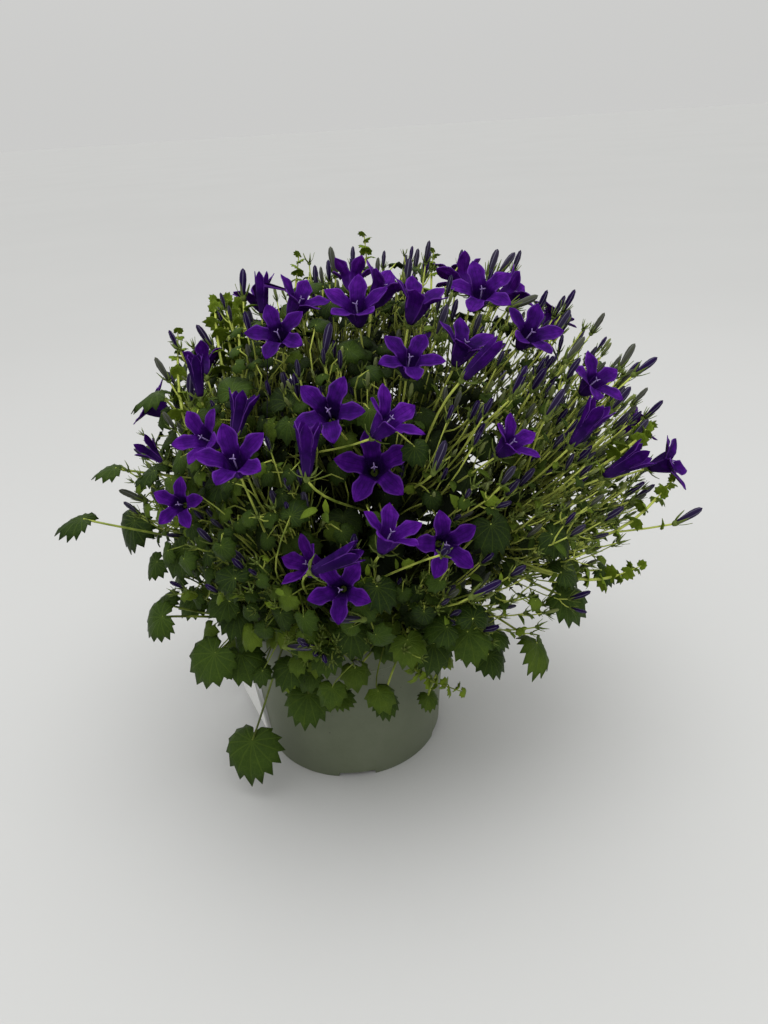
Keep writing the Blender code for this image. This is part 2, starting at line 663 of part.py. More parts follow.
def bloom_balls(bloom):
    base, axis, size = bloom["base"], bloom["axis"], bloom["size"]
    throat = base + axis * FUNNEL * size
    balls = [(base + axis * FUNNEL * size * share, radius * size) for share, radius in BLOOM_BALLS]
    for k in range(BLOOM_PETALS):
        for along, across, radius in PETAL_BALLS:
            place = petal_place(along, across, bloom["opened"], k, bloom["spin"], size)
            balls.append((throat + out_of(axis, place), radius * size))
    return balls


def out_of(axis, place):
    # A place given as (sideways, upright, along) about an axis
    up = upright_to(axis)
    side = up.cross(axis)
    return side * place[0] + up * place[1] + axis * place[2]


def petal_angle(opened, along):
    # Angle of a petal's midrib from the bloom's axis, from a shut bud to a star with tips bent back
    return math.radians(PETAL_SHUT + PETAL_OPEN * opened + (PETAL_CURL * opened + PETAL_TUCK) * along)


def petal_place(along, across, opened, which, spin, size):
    # A point of a petal, from the throat: along from 0 to 1 at its tip, across from -1 to 1
    step = along / PETAL_STEPS
    out = THROAT_RADIUS * (SHUT_THROAT + (1 - SHUT_THROAT) * opened)
    rise = 0.0
    for k in range(PETAL_STEPS):
        angle = petal_angle(opened, step * (k + 0.5))
        out += math.sin(angle) * PETAL_LENGTH * step
        rise += math.cos(angle) * PETAL_LENGTH * step
    out = max(out, PETAL_LEAST_OUT)
    width = petal_width(along) * PETAL_WIDTH / 2
    turn = math.atan2(width * across, out) * (1.0 if opened > HALF_OPEN else SHUT_TURN)
    most = math.pi / BLOOM_PETALS
    turn = max(-most, min(most, turn))
    reach = math.hypot(out, width * across) if opened > HALF_OPEN else out
    bearing = spin + 2 * math.pi * which / BLOOM_PETALS + turn
    keel = PETAL_KEEL * abs(across) * math.sin(math.pi * min(1.0, along + 0.15))
    return size * reach * math.cos(bearing), size * reach * math.sin(bearing), size * (rise + keel)


def petal_width(along):
    # Width of a petal as a share of its widest
    if along < PETAL_WIDEST:
        swell = math.sin(math.pi / 2 * along / PETAL_WIDEST)
        return PETAL_ROOT_WIDTH + (1 - PETAL_ROOT_WIDTH) * swell
    return math.cos(math.pi / 2 * (along - PETAL_WIDEST) / (1 - PETAL_WIDEST)) ** PETAL_POINT


def leaf_balls(leaf):
    balls = []
    length = leaf["length"]
    count = int(length / LEAF_BALL_STEP) + 1
    for i in range(-count, count + 1):
        for j in range(-count, count + 1):
            x, y = i * LEAF_BALL_STEP, j * LEAF_BALL_STEP
            angle = math.degrees(math.atan2(abs(x), y))
            if math.hypot(x, y) < length * blade_reach(angle) + LEAF_SPARE:
                balls.append((leaf_point(leaf, x, y, 0.0), LEAF_BALL))
    return balls


def leaf_point(leaf, x, y, lift):
    side = leaf["tip"].cross(leaf["face"])
    height = blade_height(x, y, leaf["length"]) + lift
    return leaf["at"] + side * x + leaf["tip"] * y + leaf["face"] * height


def spike_place(which, share, spin):
    # A point along a calyx spike, from its cup to its tip
    bearing = spin + 2 * math.pi * which / BLOOM_PETALS
    reach = CALYX_SPIKE * share
    return Vector((reach * math.cos(bearing), reach * math.sin(bearing), CALYX_RISE * share))


def calyx_balls(at, axis, size, spin):
    balls = [(at, CALYX_BALL * size)]
    for k in range(BLOOM_PETALS):
        for share, radius in SPIKE_BALLS:
            balls.append((at + out_of(axis, spike_place(k, share, spin)) * size, radius * size))
    return balls


def foot_balls(bloom):
    # The calyx behind a bloom, and the end of its stalk
    foot, axis = bloom["foot"], bloom["axis"]
    stub = [foot, foot - axis * STALK_STUB]
    return calyx_balls(foot, axis, 1.0, bloom["calyx_spin"]) + stem_balls(stub, STEM_RADIUS)


def bud_balls(bud):
    tip = bud["at"] + bud["axis"] * BUD_LENGTH * bud["size"]
    balls = [(bud["at"].lerp(tip, share), radius * bud["size"]) for share, radius in BUD_BALLS]
    return balls + calyx_balls(bud["at"], bud["axis"], BUD_CALYX * bud["size"], BUD_SPIN)


def spin_to(axis, throat_pixel, tip_pixel):
    # The bearing about a bloom's axis at which a petal points to a place in the picture
    level, upright, back = picture_axes()
    way = level * (tip_pixel[0] - throat_pixel[0]) - upright * (tip_pixel[1] - throat_pixel[1])
    way -= back * (way.dot(axis) / back.dot(axis))
    up = upright_to(axis)
    return math.atan2(way.dot(up), way.dot(up.cross(axis)))


def seen_bloom(mark):
    axis = facing(mark["face"])
    throat = crown_point(mark["at"], mark.get("deep", 0.0))
    bloom = dict(throat=throat, line=sight_line(mark["at"]), axis=axis)
    bloom["opened"], bloom["size"] = mark["opened"], mark["size"]
    if "tip" in mark:
        bloom["spin"] = spin_to(axis, mark["at"], mark["tip"])
    return bloom


def far_bloom(k):
    turn = FAR_FROM + (FAR_TO - FAR_FROM) * k / (FAR_BLOOMS - 1)
    height = math.radians(FAR_HEIGHTS[k % len(FAR_HEIGHTS)])
    way = Vector((math.cos(turn) * math.cos(height), math.sin(turn) * math.cos(height), math.sin(height)))
    axis = (way + Vector((0, 0, 0.35))).normalized()
    return dict(throat=on_crown(way, 1.0), line=way, axis=axis, opened=1.0 if k % 3 else 0.75, size=0.98)


def place_blooms(crowd):
    draw = random.Random(BLOOM_SEED)
    blooms = [seen_bloom(mark) for mark in SEEN_BLOOMS]
    blooms += [far_bloom(k) for k in range(FAR_BLOOMS)]
    for number, bloom in enumerate(blooms):
        axis = bloom["axis"]
        free_spin = "spin" not in bloom
        for attempt in range(BLOOM_TRIES):
            moved = bloom["throat"] + shifted(bloom["line"], BLOOM_SHIFT * attempt, draw)
            bloom["base"] = moved - axis * FUNNEL * bloom["size"]
            bloom["foot"] = bloom["base"] - axis * CALYX_GAP
            if free_spin:
                bloom["spin"] = draw.uniform(0, 2 * math.pi)
            bloom["calyx_spin"] = draw.uniform(0, 2 * math.pi)
            balls = bloom_balls(bloom) + foot_balls(bloom)
            if not crowd.crossed(balls, []):
                break
        bloom["owner"] = BLOOM_OWNER + number
        crowd.add(balls, bloom["owner"])
    return blooms


def shifted(line, shift, draw):
    # A random move, mostly along a line, that grows with each try
    aside = Vector([draw.uniform(-shift, shift) for _ in range(3)])
    return line * draw.uniform(-shift, shift) * DEPTH_SHIFT / 2 + aside / DEPTH_SHIFT


def on_crown(way, share):
    return CROWN_CENTRE + Vector([way[i] * CROWN_RADII[i] for i in range(3)]) * share


def fan_directions():
    # Trunk directions from the apex, spread evenly over the fan
    ways = []
    for k in range(LEAFY_STEMS):
        height = 1 - (k + 0.5) / LEAFY_STEMS * (1 - math.cos(FAN_ANGLE))
        flat = math.sqrt(1 - height * height)
        turn = k * GOLDEN_TURN
        ways.append(Vector((flat * math.cos(turn), flat * math.sin(turn), height)))
    return ways


def inside_crown(point):
    away = point - CROWN_CENTRE
    return sum((away[i] / CROWN_RADII[i]) ** 2 for i in range(3)) < 1


def grow_trunk(way):
    # From the bottom of its hole, straight up through the soil, then out along its ray
    root = APEX + way * ((SOIL_TOP - APEX.z) / way.z)
    far = TRUNK_SHORTEST
    while inside_crown(to_world(APEX + way * far)):
        far += TRUNK_PACE
    tip = APEX + way * far * TRUNK_REACH
    low = Vector((root.x, root.y, SOIL_TOP - HOLE_DEPTH + ROOT_CLEAR))
    top = Vector((root.x, root.y, SOIL_TOP + ROOT_UPRIGHT))
    ray = [to_world(top.lerp(tip, k / TRUNK_STEPS)) for k in range(1, TRUNK_STEPS + 1)]
    return [low, top] + ray


def along_trunk(trunk, share):
    # The point that far up a trunk's free length, and the way the trunk runs there
    free = trunk[1:]
    place = share * (len(free) - 1)
    k = min(int(place), len(free) - 2)
    return free[k].lerp(free[k + 1], place - k), (free[k + 1] - free[k]).normalized()


def grow_branch(plant, number, end, arrive, kind, allowed):
    # A curved stem from a trunk to a place, clear of the other stems, or None
    stem, crowd, draw = plant["stems"][number], plant["crowd"], plant["draw"]
    for attempt in range(BRANCH_TRIES):
        start, rise = along_trunk(stem["trunk"], draw.uniform(BRANCH_FROM, BRANCH_TO))
        apart = BRANCH_SPACING * (1 - attempt / BRANCH_TRIES)
        if any((start - other).length < apart for other in stem["taken"]):
            continue
        span = (end - start).length
        wander = Vector([draw.uniform(-1, 1) for _ in range(3)]) * span * BRANCH_WANDER * attempt
        leave = start + rise * span * BRANCH_LEAVE + wander
        meet = end - arrive * span * draw.uniform(*BRANCH_ARRIVE) - wander / 2
        points = curve_points(start, leave, meet, end, kind["steps"])
        balls = stem_balls(points, kind["radius"])
        near = [ball for ball in balls if (ball[0] - start).length < ROOT_REACH]
        far = [ball for ball in balls if (ball[0] - start).length >= ROOT_REACH]
        if not crowd.crossed(near, [number] + allowed) and not crowd.crossed(far, allowed):
            stem["taken"].append(start)
            return points
    return None


def nearest_stems(plant, point):
    direction = (to_straight(point) - APEX).normalized()
    return sorted(range(LEAFY_STEMS), key=lambda k: -plant["ways"][k].dot(direction))


def attach(plant, item, end, arrive, balls, kind, choices, allowed):
    # Tries the nearest leafy stems in turn, and keeps the piece with the one that reaches it
    crowd = plant["crowd"]
    if balls and crowd.crossed(balls, allowed):
        return False
    for number in nearest_stems(plant, end)[:choices]:
        points = grow_branch(plant, number, end, arrive, kind, allowed)
        if points is None:
            continue
        crowd.add(stem_balls(points, kind["radius"]) + balls, number)
        item["stalk"] = points
        item["stem"] = number
        return True
    return False


def hold_bloom(plant, bloom):
    if attach(plant, bloom, bloom["foot"], bloom["axis"], [], STALK, LEAFY_STEMS, [bloom["owner"]]):
        plant["stems"][bloom["stem"]]["blooms"].append(bloom)


def hold_leaf(plant, leaf):
    home = leaf["at"].copy()
    for attempt in range(LEAF_TRIES):
        end = leaf["at"] - leaf["tip"] * leaf["length"] * 0.03
        arrive = (leaf["tip"] * 0.8 + leaf["face"] * 0.3).normalized()
        if attach(plant, leaf, end, arrive, leaf_balls(leaf), TWIG, NEAR_STEMS, []):
            plant["stems"][leaf["stem"]]["leaves"].append(leaf)
            return
        leaf["at"] = home + shifted(leaf["line"], PIECE_SHIFT * (attempt + 1), plant["draw"])


def hold_bud(plant, bud):
    home = bud["at"].copy()
    for attempt in range(BUD_TRIES):
        if attach(plant, bud, bud["at"], bud["axis"], bud_balls(bud), BUD_TWIG, NEAR_STEMS, []):
            plant["stems"][bud["stem"]]["buds"].append(bud)
            return
        bud["at"] = home + shifted(bud["line"], PIECE_SHIFT * (attempt + 1), plant["draw"])


def hang_square(tip, face):
    # Makes a leaf's tip square to its face
    return (tip - face * tip.dot(face)).normalized()


def seen_leaf(mark, middle):
    face = facing(mark["face"])
    turn = math.radians(mark["tip"])
    tip = hang_square(facing((math.cos(turn), math.sin(turn), 0)), face)
    leaf = dict(face=face, tip=tip, length=mark["length"], line=sight_line(mark["at"]))
    leaf["at"] = middle - tip * mark["length"] * LEAF_HOLD
    return leaf


def seen_bud(mark):
    axis = facing(mark["points"])
    middle = crown_point(mark["at"], mark.get("deep", 0.0))
    return dict(at=middle - axis * BUD_LENGTH / 2, axis=axis, size=1.0, line=sight_line(mark["at"]))


def skirt_leaf(k, draw):
    turn = SKIRT_FROM + (SKIRT_TO - SKIRT_FROM) * k / (SKIRT_LEAVES - 1) + draw.uniform(-0.08, 0.08)
    out = Vector((math.cos(turn), math.sin(turn), 0))
    face = (out + Vector((0, 0, draw.uniform(0.7, 1.3)))).normalized()
    tip = hang_square(out + Vector((draw.uniform(-0.5, 0.5), draw.uniform(-0.5, 0.5), -0.5)), face)
    place = out * (SKIRT_OUT + draw.uniform(-0.004, 0.010))
    place.z = SKIRT_HEIGHT + draw.uniform(-0.008, 0.010)
    return dict(face=face, tip=tip, length=draw.uniform(*SKIRT_LENGTHS), at=place, line=out)


def floor_leaf(k, draw):
    turn = k * GOLDEN_TURN
    out = Vector((math.cos(turn), math.sin(turn), 0))
    face = (out * 0.4 + Vector((0, 0, 1))).normalized()
    place = out * FLOOR_OUT * draw.uniform(0.5, 1.1)
    place.z = FLOOR_HEIGHT + draw.uniform(-0.008, 0.012)
    tip = hang_square(out, face)
    return dict(face=face, tip=tip, length=draw.uniform(*FLOOR_LENGTHS), at=place, line=out)


def rule_leaf(k, draw):
    turn = RULE_FROM + (RULE_TO - RULE_FROM) * (k * GOLDEN_SHARE % 1)
    way = crown_way(0.80 - 1.15 * (k + 0.5) / RULE_LEAVES, turn)
    face = (way + Vector((0, 0, 0.6))).normalized()
    tip = hang_square(way + Vector((draw.uniform(-0.5, 0.5), draw.uniform(-0.5, 0.5), -0.8)), face)
    place = on_crown(way, draw.uniform(0.80, 0.99))
    return dict(face=face, tip=tip, length=draw.uniform(*RULE_LENGTHS), at=place, line=way)


def rule_bud(k, draw):
    way = crown_way(0.98 - 1.05 * (k + 0.5) / RULE_BUDS, k * GOLDEN_TURN + 2.1)
    axis = (way + Vector((0, 0, 0.7))).normalized()
    return dict(at=on_crown(way, draw.uniform(0.86, 1.0)), axis=axis, size=draw.uniform(0.8, 1.0), line=way)


def crown_way(height, turn):
    flat = math.sqrt(1 - height * height)
    return Vector((flat * math.cos(turn), flat * math.sin(turn), height))


def card_balls():
    outward, along = card_axes()
    balls = []
    columns, rows = 14, 26
    for j in range(rows):
        height = CARD_FOOT + (CARD_TOP + 0.003 - CARD_FOOT) * j / (rows - 1)
        inner = outward * (card_out(height) + CARD_THICK / 2) + Vector((0, 0, height))
        for i in range(columns):
            distance = CARD_NEAR + (CARD_FAR - CARD_NEAR) * i / (columns - 1)
            balls.append((inner + along * distance, CARD_BALL))
    tongue = along * (CARD_NEAR + TONGUE_WIDTH / 2) + Vector((0, 0, CARD_TOP))
    reach = card_out(CARD_TOP) - TONGUE_IN
    for share in (0, 0.25, 0.5, 0.75):
        balls.append((outward * (TONGUE_IN + reach * share) + tongue, TONGUE_BALL))
    return balls


def grow_plant():
    crowd = Crowd()
    crowd.add(card_balls(), CARD_OWNER)
    blooms = place_blooms(crowd)
    ways = fan_directions()
    draw = random.Random(PLANT_SEED)
    stems = []
    for number, way in enumerate(ways):
        trunk = grow_trunk(way)
        stems.append(dict(trunk=trunk, taken=[], leaves=[], buds=[], blooms=[]))
        crowd.add(stem_balls(trunk[1:], TRUNK_RADIUS), number)
    plant = dict(crowd=crowd, ways=ways, stems=stems, draw=draw)
    for bloom in blooms:
        hold_bloom(plant, bloom)
    for mark in HANGING_LEAVES:
        hold_leaf(plant, seen_leaf(mark, front_point(mark["at"], mark["front"])))
    for mark in SEEN_LEAVES:
        hold_leaf(plant, seen_leaf(mark, crown_point(mark["at"], mark.get("deep", 0.002))))
    for mark in SEEN_BUDS:
        hold_bud(plant, seen_bud(mark))
    for k in range(SKIRT_LEAVES):
        hold_leaf(plant, skirt_leaf(k, draw))
    for k in range(FLOOR_LEAVES):
        hold_leaf(plant, floor_leaf(k, draw))
    for k in range(RULE_LEAVES):
        hold_leaf(plant, rule_leaf(k, draw))
    for k in range(RULE_BUDS):
        hold_bud(plant, rule_bud(k, draw))
    return blooms, stems


def ring_frame(points, i, reference):
    last = len(points) - 1
    along = (points[min(i + 1, last)] - points[max(i - 1, 0)]).normalized()
    side = (reference - along * reference.dot(along)).normalized()
    return side, along.cross(side)


def tube_rings(points, radius, tip_radius):
    # A three-sided stem with a flat foot and an open end, and the indices of its last ring
    made = []
    faces = [(2, 1, 0)]
    overall = (points[-1] - points[0]).normalized()
    reference = upright_to(overall).cross(overall)
    last = len(points) - 1
    for i, point in enumerate(points):
        side, up = ring_frame(points, i, reference)
        size = radius + (tip_radius - radius) * i / last
        for k in range(STEM_SIDES):
            angle = 2 * math.pi * k / STEM_SIDES
            made.append(point + (side * math.cos(angle) + up * math.sin(angle)) * size)
    for i in range(last):
        for k in range(STEM_SIDES):
            after = (k + 1) % STEM_SIDES
            low = i * STEM_SIDES
            high = low + STEM_SIDES
            faces.append((low + k, low + after, high + after))
            faces.append((low + k, high + after, high + k))
    return made, faces, list(range(last * STEM_SIDES, (last + 1) * STEM_SIDES))


def tube(points, radius, tip_radius):
    made, faces, ring = tube_rings(points, radius, tip_radius)
    return made, faces + [tuple(ring)]


def add_ring(points, at, axis, places):
    # Adds a ring of places about an axis, and returns its indices
    first = len(points)
    points += [at + out_of(axis, place) for place in places]
    return list(range(first, len(points)))


def in_turn(points, ring, at, axis):
    # The ring's bearings about an axis, each with its index, in turning order
    up = upright_to(axis)
    side = up.cross(axis)
    turns = [(math.atan2((points[k] - at).dot(up), (points[k] - at).dot(side)), k) for k in ring]
    return sorted(turns)


def bridge(points, faces, low_ring, high_ring, at, axis):
    # Triangles between two rings that may differ in number, walked round together
    low = in_turn(points, low_ring, at, axis)
    high = in_turn(points, high_ring, at, axis)
    i = j = 0
    while i < len(low) or j < len(high):
        next_low = low[(i + 1) % len(low)][0] + 2 * math.pi * ((i + 1) // len(low))
        next_high = high[(j + 1) % len(high)][0] + 2 * math.pi * ((j + 1) // len(high))
        here, there = low[i % len(low)][1], high[j % len(high)][1]
        if j >= len(high) or (i < len(low) and next_low <= next_high):
            faces.append((here, low[(i + 1) % len(low)][1], there))
            i += 1
        else:
            faces.append((here, high[(j + 1) % len(high)][1], there))
            j += 1


def add_star(points, faces, ring, at, axis, size, spin):
    # A calyx of five narrow spikes round the end of a stem
    places = []
    for k in range(2 * BLOOM_PETALS):
        bearing = spin + math.pi * k / BLOOM_PETALS
        reach, rise = (CALYX_RADIUS, 0.0) if k % 2 else (CALYX_SPIKE, CALYX_RISE)
        places.append((reach * size * math.cos(bearing), reach * size * math.sin(bearing), rise * size))
    star = add_ring(points, at, axis, places)
    for k in ring:
        points[k] -= axis * ((points[k] - at).dot(axis) + CALYX_DEPTH)
    bridge(points, faces, ring, star, at, axis)
    return star


def flower_stalk(bloom):
    points, faces, ring = tube_rings(bloom["stalk"], STEM_RADIUS, STEM_RADIUS)
    at, axis = bloom["stalk"][-1], bloom["axis"]
    star = add_star(points, faces, ring, at, axis, 1.0, bloom["calyx_spin"])
    points.append(at + axis * CALYX_HEART)
    turns = in_turn(points, star, at, axis)
    for (_, here), (_, there) in zip(turns, turns[1:] + turns[:1]):
        faces.append((here, there, len(points) - 1))
    return points, faces


def bud_stalk(bud):
    # A stem, a calyx and a pointed bud, fullest below its middle
    points, faces, ring = tube_rings(bud["stalk"], TWIG_RADIUS, TWIG_RADIUS)
    at, axis, size = bud["at"], bud["axis"], bud["size"]
    low = add_star(points, faces, ring, at, axis, BUD_CALYX * size, BUD_SPIN)
    for share, width in BUD_RINGS:
        places = []
        for k in range(BLOOM_PETALS):
            bearing = BUD_SPIN + 2 * math.pi * (k + 0.5) / BLOOM_PETALS
            reach = BUD_RADIUS * width * size
            places.append((reach * math.cos(bearing), reach * math.sin(bearing), BUD_LENGTH * share * size))
        high = add_ring(points, at, axis, places)
        bridge(points, faces, low, high, at, axis)
        low = high
    points.append(at + axis * BUD_LENGTH * size)
    turns = in_turn(points, low, at, axis)
    for (_, here), (_, there) in zip(turns, turns[1:] + turns[:1]):
        faces.append((here, there, len(points) - 1))
    return points, faces


def leaf_edge(length):
    # Angle from the tip, in degrees, and share of the reach, round the toothed edge
    edge = []
    half = next(teeth for most, teeth in LEAF_TEETH if length < most) // 2
    step = LOBE_ANGLE / (half + 1)
    for k in range(-2 * half - 2, 2 * half + 3):
        edge.append((k * step / 2, TOOTH_NOTCH if k % 2 else 1.0))
    return edge


def leaf_on_stalk(leaf):
    # A stalk whose end widens into a toothed blade, split into the same triangles above and below
    points, faces, ring = tube_rings(leaf["stalk"], TWIG_RADIUS, TWIG_RADIUS * LEAF_NECK)
    heights = [(points[k] - leaf["stalk"][-1]).dot(leaf["face"]) for k in ring]
    highest = heights.index(max(heights))
    crest, right, left = ring[highest:] + ring[:highest]
    length = leaf["length"]
    flat = [(0.0, BLADE_HEART * length)]
    for angle, share in leaf_edge(length):
        reach = length * blade_reach(abs(angle)) * share
        flat.append((reach * math.sin(math.radians(angle)), reach * math.cos(math.radians(angle))))
    count = len(flat)
    top = len(points)
    points += [leaf_point(leaf, x, y, LEAF_THICK / 2) for x, y in flat]
    low = len(points)
    points += [leaf_point(leaf, x, y, -LEAF_THICK / 2) for x, y in flat]
    for k in range(1, count - 1):
        faces.append((top, top + k + 1, top + k))
        faces.append((low, low + k, low + k + 1))
        faces.append((top + k, top + k + 1, low + k + 1))
        faces.append((top + k, low + k + 1, low + k))
    first, last = 1, count - 1
    faces.append((top, top + first, crest))
    faces.append((top, crest, top + last))
    faces.append((low, left, low + first))
    faces.append((low, right, left))
    faces.append((low, low + last, right))
    faces.append((crest, top + first, low + first))
    faces.append((crest, low + first, left))
    faces.append((crest, low + last, top + last))
    faces.append((crest, right, low + last))
    return points, faces


def corolla(bloom):
    # The bell and its petals as one sheet, with a closed foot
    axis, size = bloom["axis"], bloom["size"]
    throat = bloom["base"] + axis * FUNNEL * size
    opened, spin = bloom["opened"], bloom["spin"]
    edge = min(PETAL_EDGE, SHUT_EDGE + opened)
    points = []
    foot = []
    for k in range(BLOOM_PETALS):
        bearing = spin + 2 * math.pi * (k + 0.5) / BLOOM_PETALS
        reach = FUNNEL_BASE * size
        place = (reach * math.cos(bearing), reach * math.sin(bearing), 0.0)
        foot.append(len(points))
        points.append(bloom["base"] + out_of(axis, place))
    sinus = []
    for k in range(BLOOM_PETALS):
        left = Vector(petal_place(0.0, 1.0, opened, k, spin, size))
        right = Vector(petal_place(0.0, -1.0, opened, (k + 1) % BLOOM_PETALS, spin, size))
        sinus.append(len(points))
        points.append(throat + out_of(axis, left.lerp(right, 0.5)))
    faces = [tuple(reversed(foot))]
    for k in range(BLOOM_PETALS):
        before = (k - 1) % BLOOM_PETALS
        first = len(points)
        for along, across in ((0.40, -edge), (0.40, 0.0), (0.40, edge), (1.0, 0.0)):
            place = petal_place(along, across, opened, k, spin, size)
            points.append(throat + out_of(axis, place))
        right, mid, left, tip = range(first, first + 4)
        faces.append((foot[before], foot[k], sinus[k]))
        faces.append((foot[before], sinus[k], sinus[before]))
        faces.append((sinus[before], mid, right))
        faces.append((sinus[before], sinus[k], mid))
        faces.append((sinus[k], left, mid))
        faces.append((right, mid, tip))
        faces.append((mid, left, tip))
    return points, faces


def build_bloom(number, bloom, surface):
    made = mesh_object("bloom_%02d" % number, corolla(bloom), surface)
    face_outwards(made)
    sheet = made.modifiers.new("thickness", "SOLIDIFY")
    sheet.thickness = PETAL_THICK
    sheet.offset = 0


def fuse(name, shapes, surface):
    # One body from a trunk and all that grows from it
    made = mesh_object(name, shapes[0], surface)
    face_outwards(made)
    group = bpy.data.collections.new(name + "_pieces")
    bpy.context.scene.collection.children.link(group)
    for shape in shapes[1:]:
        piece = mesh_object("piece", shape, surface)
        face_outwards(piece)
        bpy.context.scene.collection.objects.unlink(piece)
        group.objects.link(piece)
    union = made.modifiers.new("fuse", "BOOLEAN")
    union.operation = "UNION"
    union.operand_type = "COLLECTION"
    union.collection = group
    union.solver = "MANIFOLD"
    bpy.context.view_layer.update()
    graph = bpy.context.evaluated_depsgraph_get()
    fused = bpy.data.meshes.new_from_object(made.evaluated_get(graph))
    made.modifiers.clear()
    keep_body(fused)
    made.data = fused
    for piece in list(group.objects):
        bpy.data.objects.remove(piece, do_unlink=True)
    bpy.data.collections.remove(group)


def shell_volume(faces):
    total = 0.0
    for face in faces:
        first = face.verts[0].co
        for a, b in zip(face.verts[1:], face.verts[2:]):
            total += first.dot(a.co.cross(b.co)) / 6
    return total


def keep_body(mesh):
    # Keeps the largest closed shell: a hollow that fusing sealed is filled, a loose scrap dropped
    shape = bmesh.new()
    shape.from_mesh(mesh)
    left = set(shape.faces)
    shells = []
    while left:
        front = [left.pop()]
        shell = list(front)
        while front:
            face = front.pop()
            for edge in face.edges:
                if len(edge.link_faces) != 2:
                    continue
                for other in edge.link_faces:
                    if other in left:
                        left.remove(other)
                        front.append(other)
                        shell.append(other)
        shells.append(shell)
    shells.sort(key=shell_volume)
    for shell in shells[:-1]:
        bmesh.ops.delete(shape, geom=shell, context="FACES")
    shape.to_mesh(mesh)
    shape.free()


def build_leafy_stem(number, stem, surface):
    shapes = [tube(stem["trunk"], TRUNK_RADIUS, TRUNK_TIP_RADIUS)]
    shapes += [flower_stalk(bloom) for bloom in stem["blooms"]]
    shapes += [bud_stalk(bud) for bud in stem["buds"]]
    shapes += [leaf_on_stalk(leaf) for leaf in stem["leaves"]]
    fuse("leafy_stem_%02d" % number, shapes, surface)


def main():
    clear_scene()
    plastic = material("pot_plastic", (0.105, 0.125, 0.080), 0.45)
    earth = material("soil", (0.035, 0.022, 0.014), 0.95)
    card = material("card", (0.80, 0.80, 0.78), 0.55)
    petal = material("petal", (0.085, 0.010, 0.290), 0.55)
    green = material("foliage", (0.060, 0.110, 0.025), 0.60)
    blooms, stems = grow_plant()
    build_pot(plastic)
    build_card(card)
    build_soil(earth, [stem["trunk"][0] for stem in stems])
    for number, bloom in enumerate(blooms, 1):
        build_bloom(number, bloom, petal)
    for number, stem in enumerate(stems, 1):
        build_leafy_stem(number, stem, green)


main()
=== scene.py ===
import json
import math
import random

import bmesh
import bpy
import numpy as np
from mathutils import Matrix, Vector, noise

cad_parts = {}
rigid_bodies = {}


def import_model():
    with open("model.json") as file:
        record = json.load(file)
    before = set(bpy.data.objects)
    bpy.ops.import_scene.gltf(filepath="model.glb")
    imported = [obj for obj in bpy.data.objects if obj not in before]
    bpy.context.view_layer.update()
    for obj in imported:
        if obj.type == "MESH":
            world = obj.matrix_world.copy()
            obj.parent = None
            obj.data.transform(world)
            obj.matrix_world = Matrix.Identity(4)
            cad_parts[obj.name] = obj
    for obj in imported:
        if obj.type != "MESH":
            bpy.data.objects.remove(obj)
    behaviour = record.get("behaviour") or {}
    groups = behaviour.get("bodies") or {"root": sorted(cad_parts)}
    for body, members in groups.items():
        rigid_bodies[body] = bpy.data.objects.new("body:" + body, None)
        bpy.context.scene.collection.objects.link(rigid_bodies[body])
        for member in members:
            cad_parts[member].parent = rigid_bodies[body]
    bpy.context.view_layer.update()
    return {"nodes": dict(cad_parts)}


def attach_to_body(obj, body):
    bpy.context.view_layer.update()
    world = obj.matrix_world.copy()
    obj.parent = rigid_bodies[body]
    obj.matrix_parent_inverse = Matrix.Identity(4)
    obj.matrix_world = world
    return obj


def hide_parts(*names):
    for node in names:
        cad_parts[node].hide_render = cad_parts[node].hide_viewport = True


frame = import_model()
print("frame loaded:", len(frame["nodes"]), "nodes")

# Where everything grows: the same rules and values as the solids were laid out with
potForm = {
    "baseRadius": 0.050,
    "height": 0.090,
    "wallTaper": 0.08,
    "wall": 0.0012,
    "baseThickness": 0.0015,
    "lipHeight": 0.017,
    "lipProud": 0.0023,
    "edgeRound": 0.0009,
    "notches": 5,
    "notchWidth": 0.020,
    "notchHeight": 0.003,
    "notchDepth": 0.008,
    "firstNotchAngle": math.radians(-88),
}
soilForm = {
    "gap": 0.0003,
    "top": 0.084,
    "bottom": 0.0045,
    "bump": 0.0012,
    "holeDepth": 0.008,
}
cardForm = {
    "bearing": math.radians(204.8),
    "near": 0.006,
    "far": 0.052,
    "foot": 0.004,
    "top": 0.0915,
    "thick": 0.0008,
    "footOut": 0.0512,
    "topOut": 0.0606,
    "tongueWidth": 0.010,
    "tongueIn": 0.0500,
    "ball": 0.003,
    "tongueBall": 0.005,
    "ballColumns": 14,
    "ballRows": 26,
    "over": 0.003,
}
crownForm = {
    "centre": Vector((0.030, 0.003, 0.163)),
    "radii": Vector((0.128, 0.112, 0.102)),
}
viewpoint = {
    "focalPixels": 800,
    "centrePixel": (382.5, 474.0),
    "eye": Vector((0.0258, -0.382, 0.327)),
    "pitch": math.radians(24),
    "roll": math.radians(-3.7),
}
stemForm = {
    "apex": Vector((0, 0, 0.058)),
    "lean": 0.30,
    "droop": 5.0,
    "droopFrom": 0.045,
    "fanAngle": math.radians(61),
    "leafyStems": 14,
    "trunkRadius": 0.0012,
    "trunkReach": 0.66,
    "branchFrom": 0.16,
    "branchTo": 0.97,
    "branchSpacing": 0.0035,
    "rootReach": 0.009,
    "stemRadius": 0.0008,
    "twigRadius": 0.00065,
    "trunkSteps": 6,
    "stemSteps": 3,
    "twigSteps": 2,
    "clearance": 0.0004,
    "stemBallStep": 0.002,
    "tableClear": 0.004,
    "trunkShortest": 0.08,
    "trunkPace": 0.004,
    "rootClear": 0.002,
    "rootUpright": 0.004,
    "branchLeave": 0.38,
    "branchArrive": (0.15, 0.35),
}
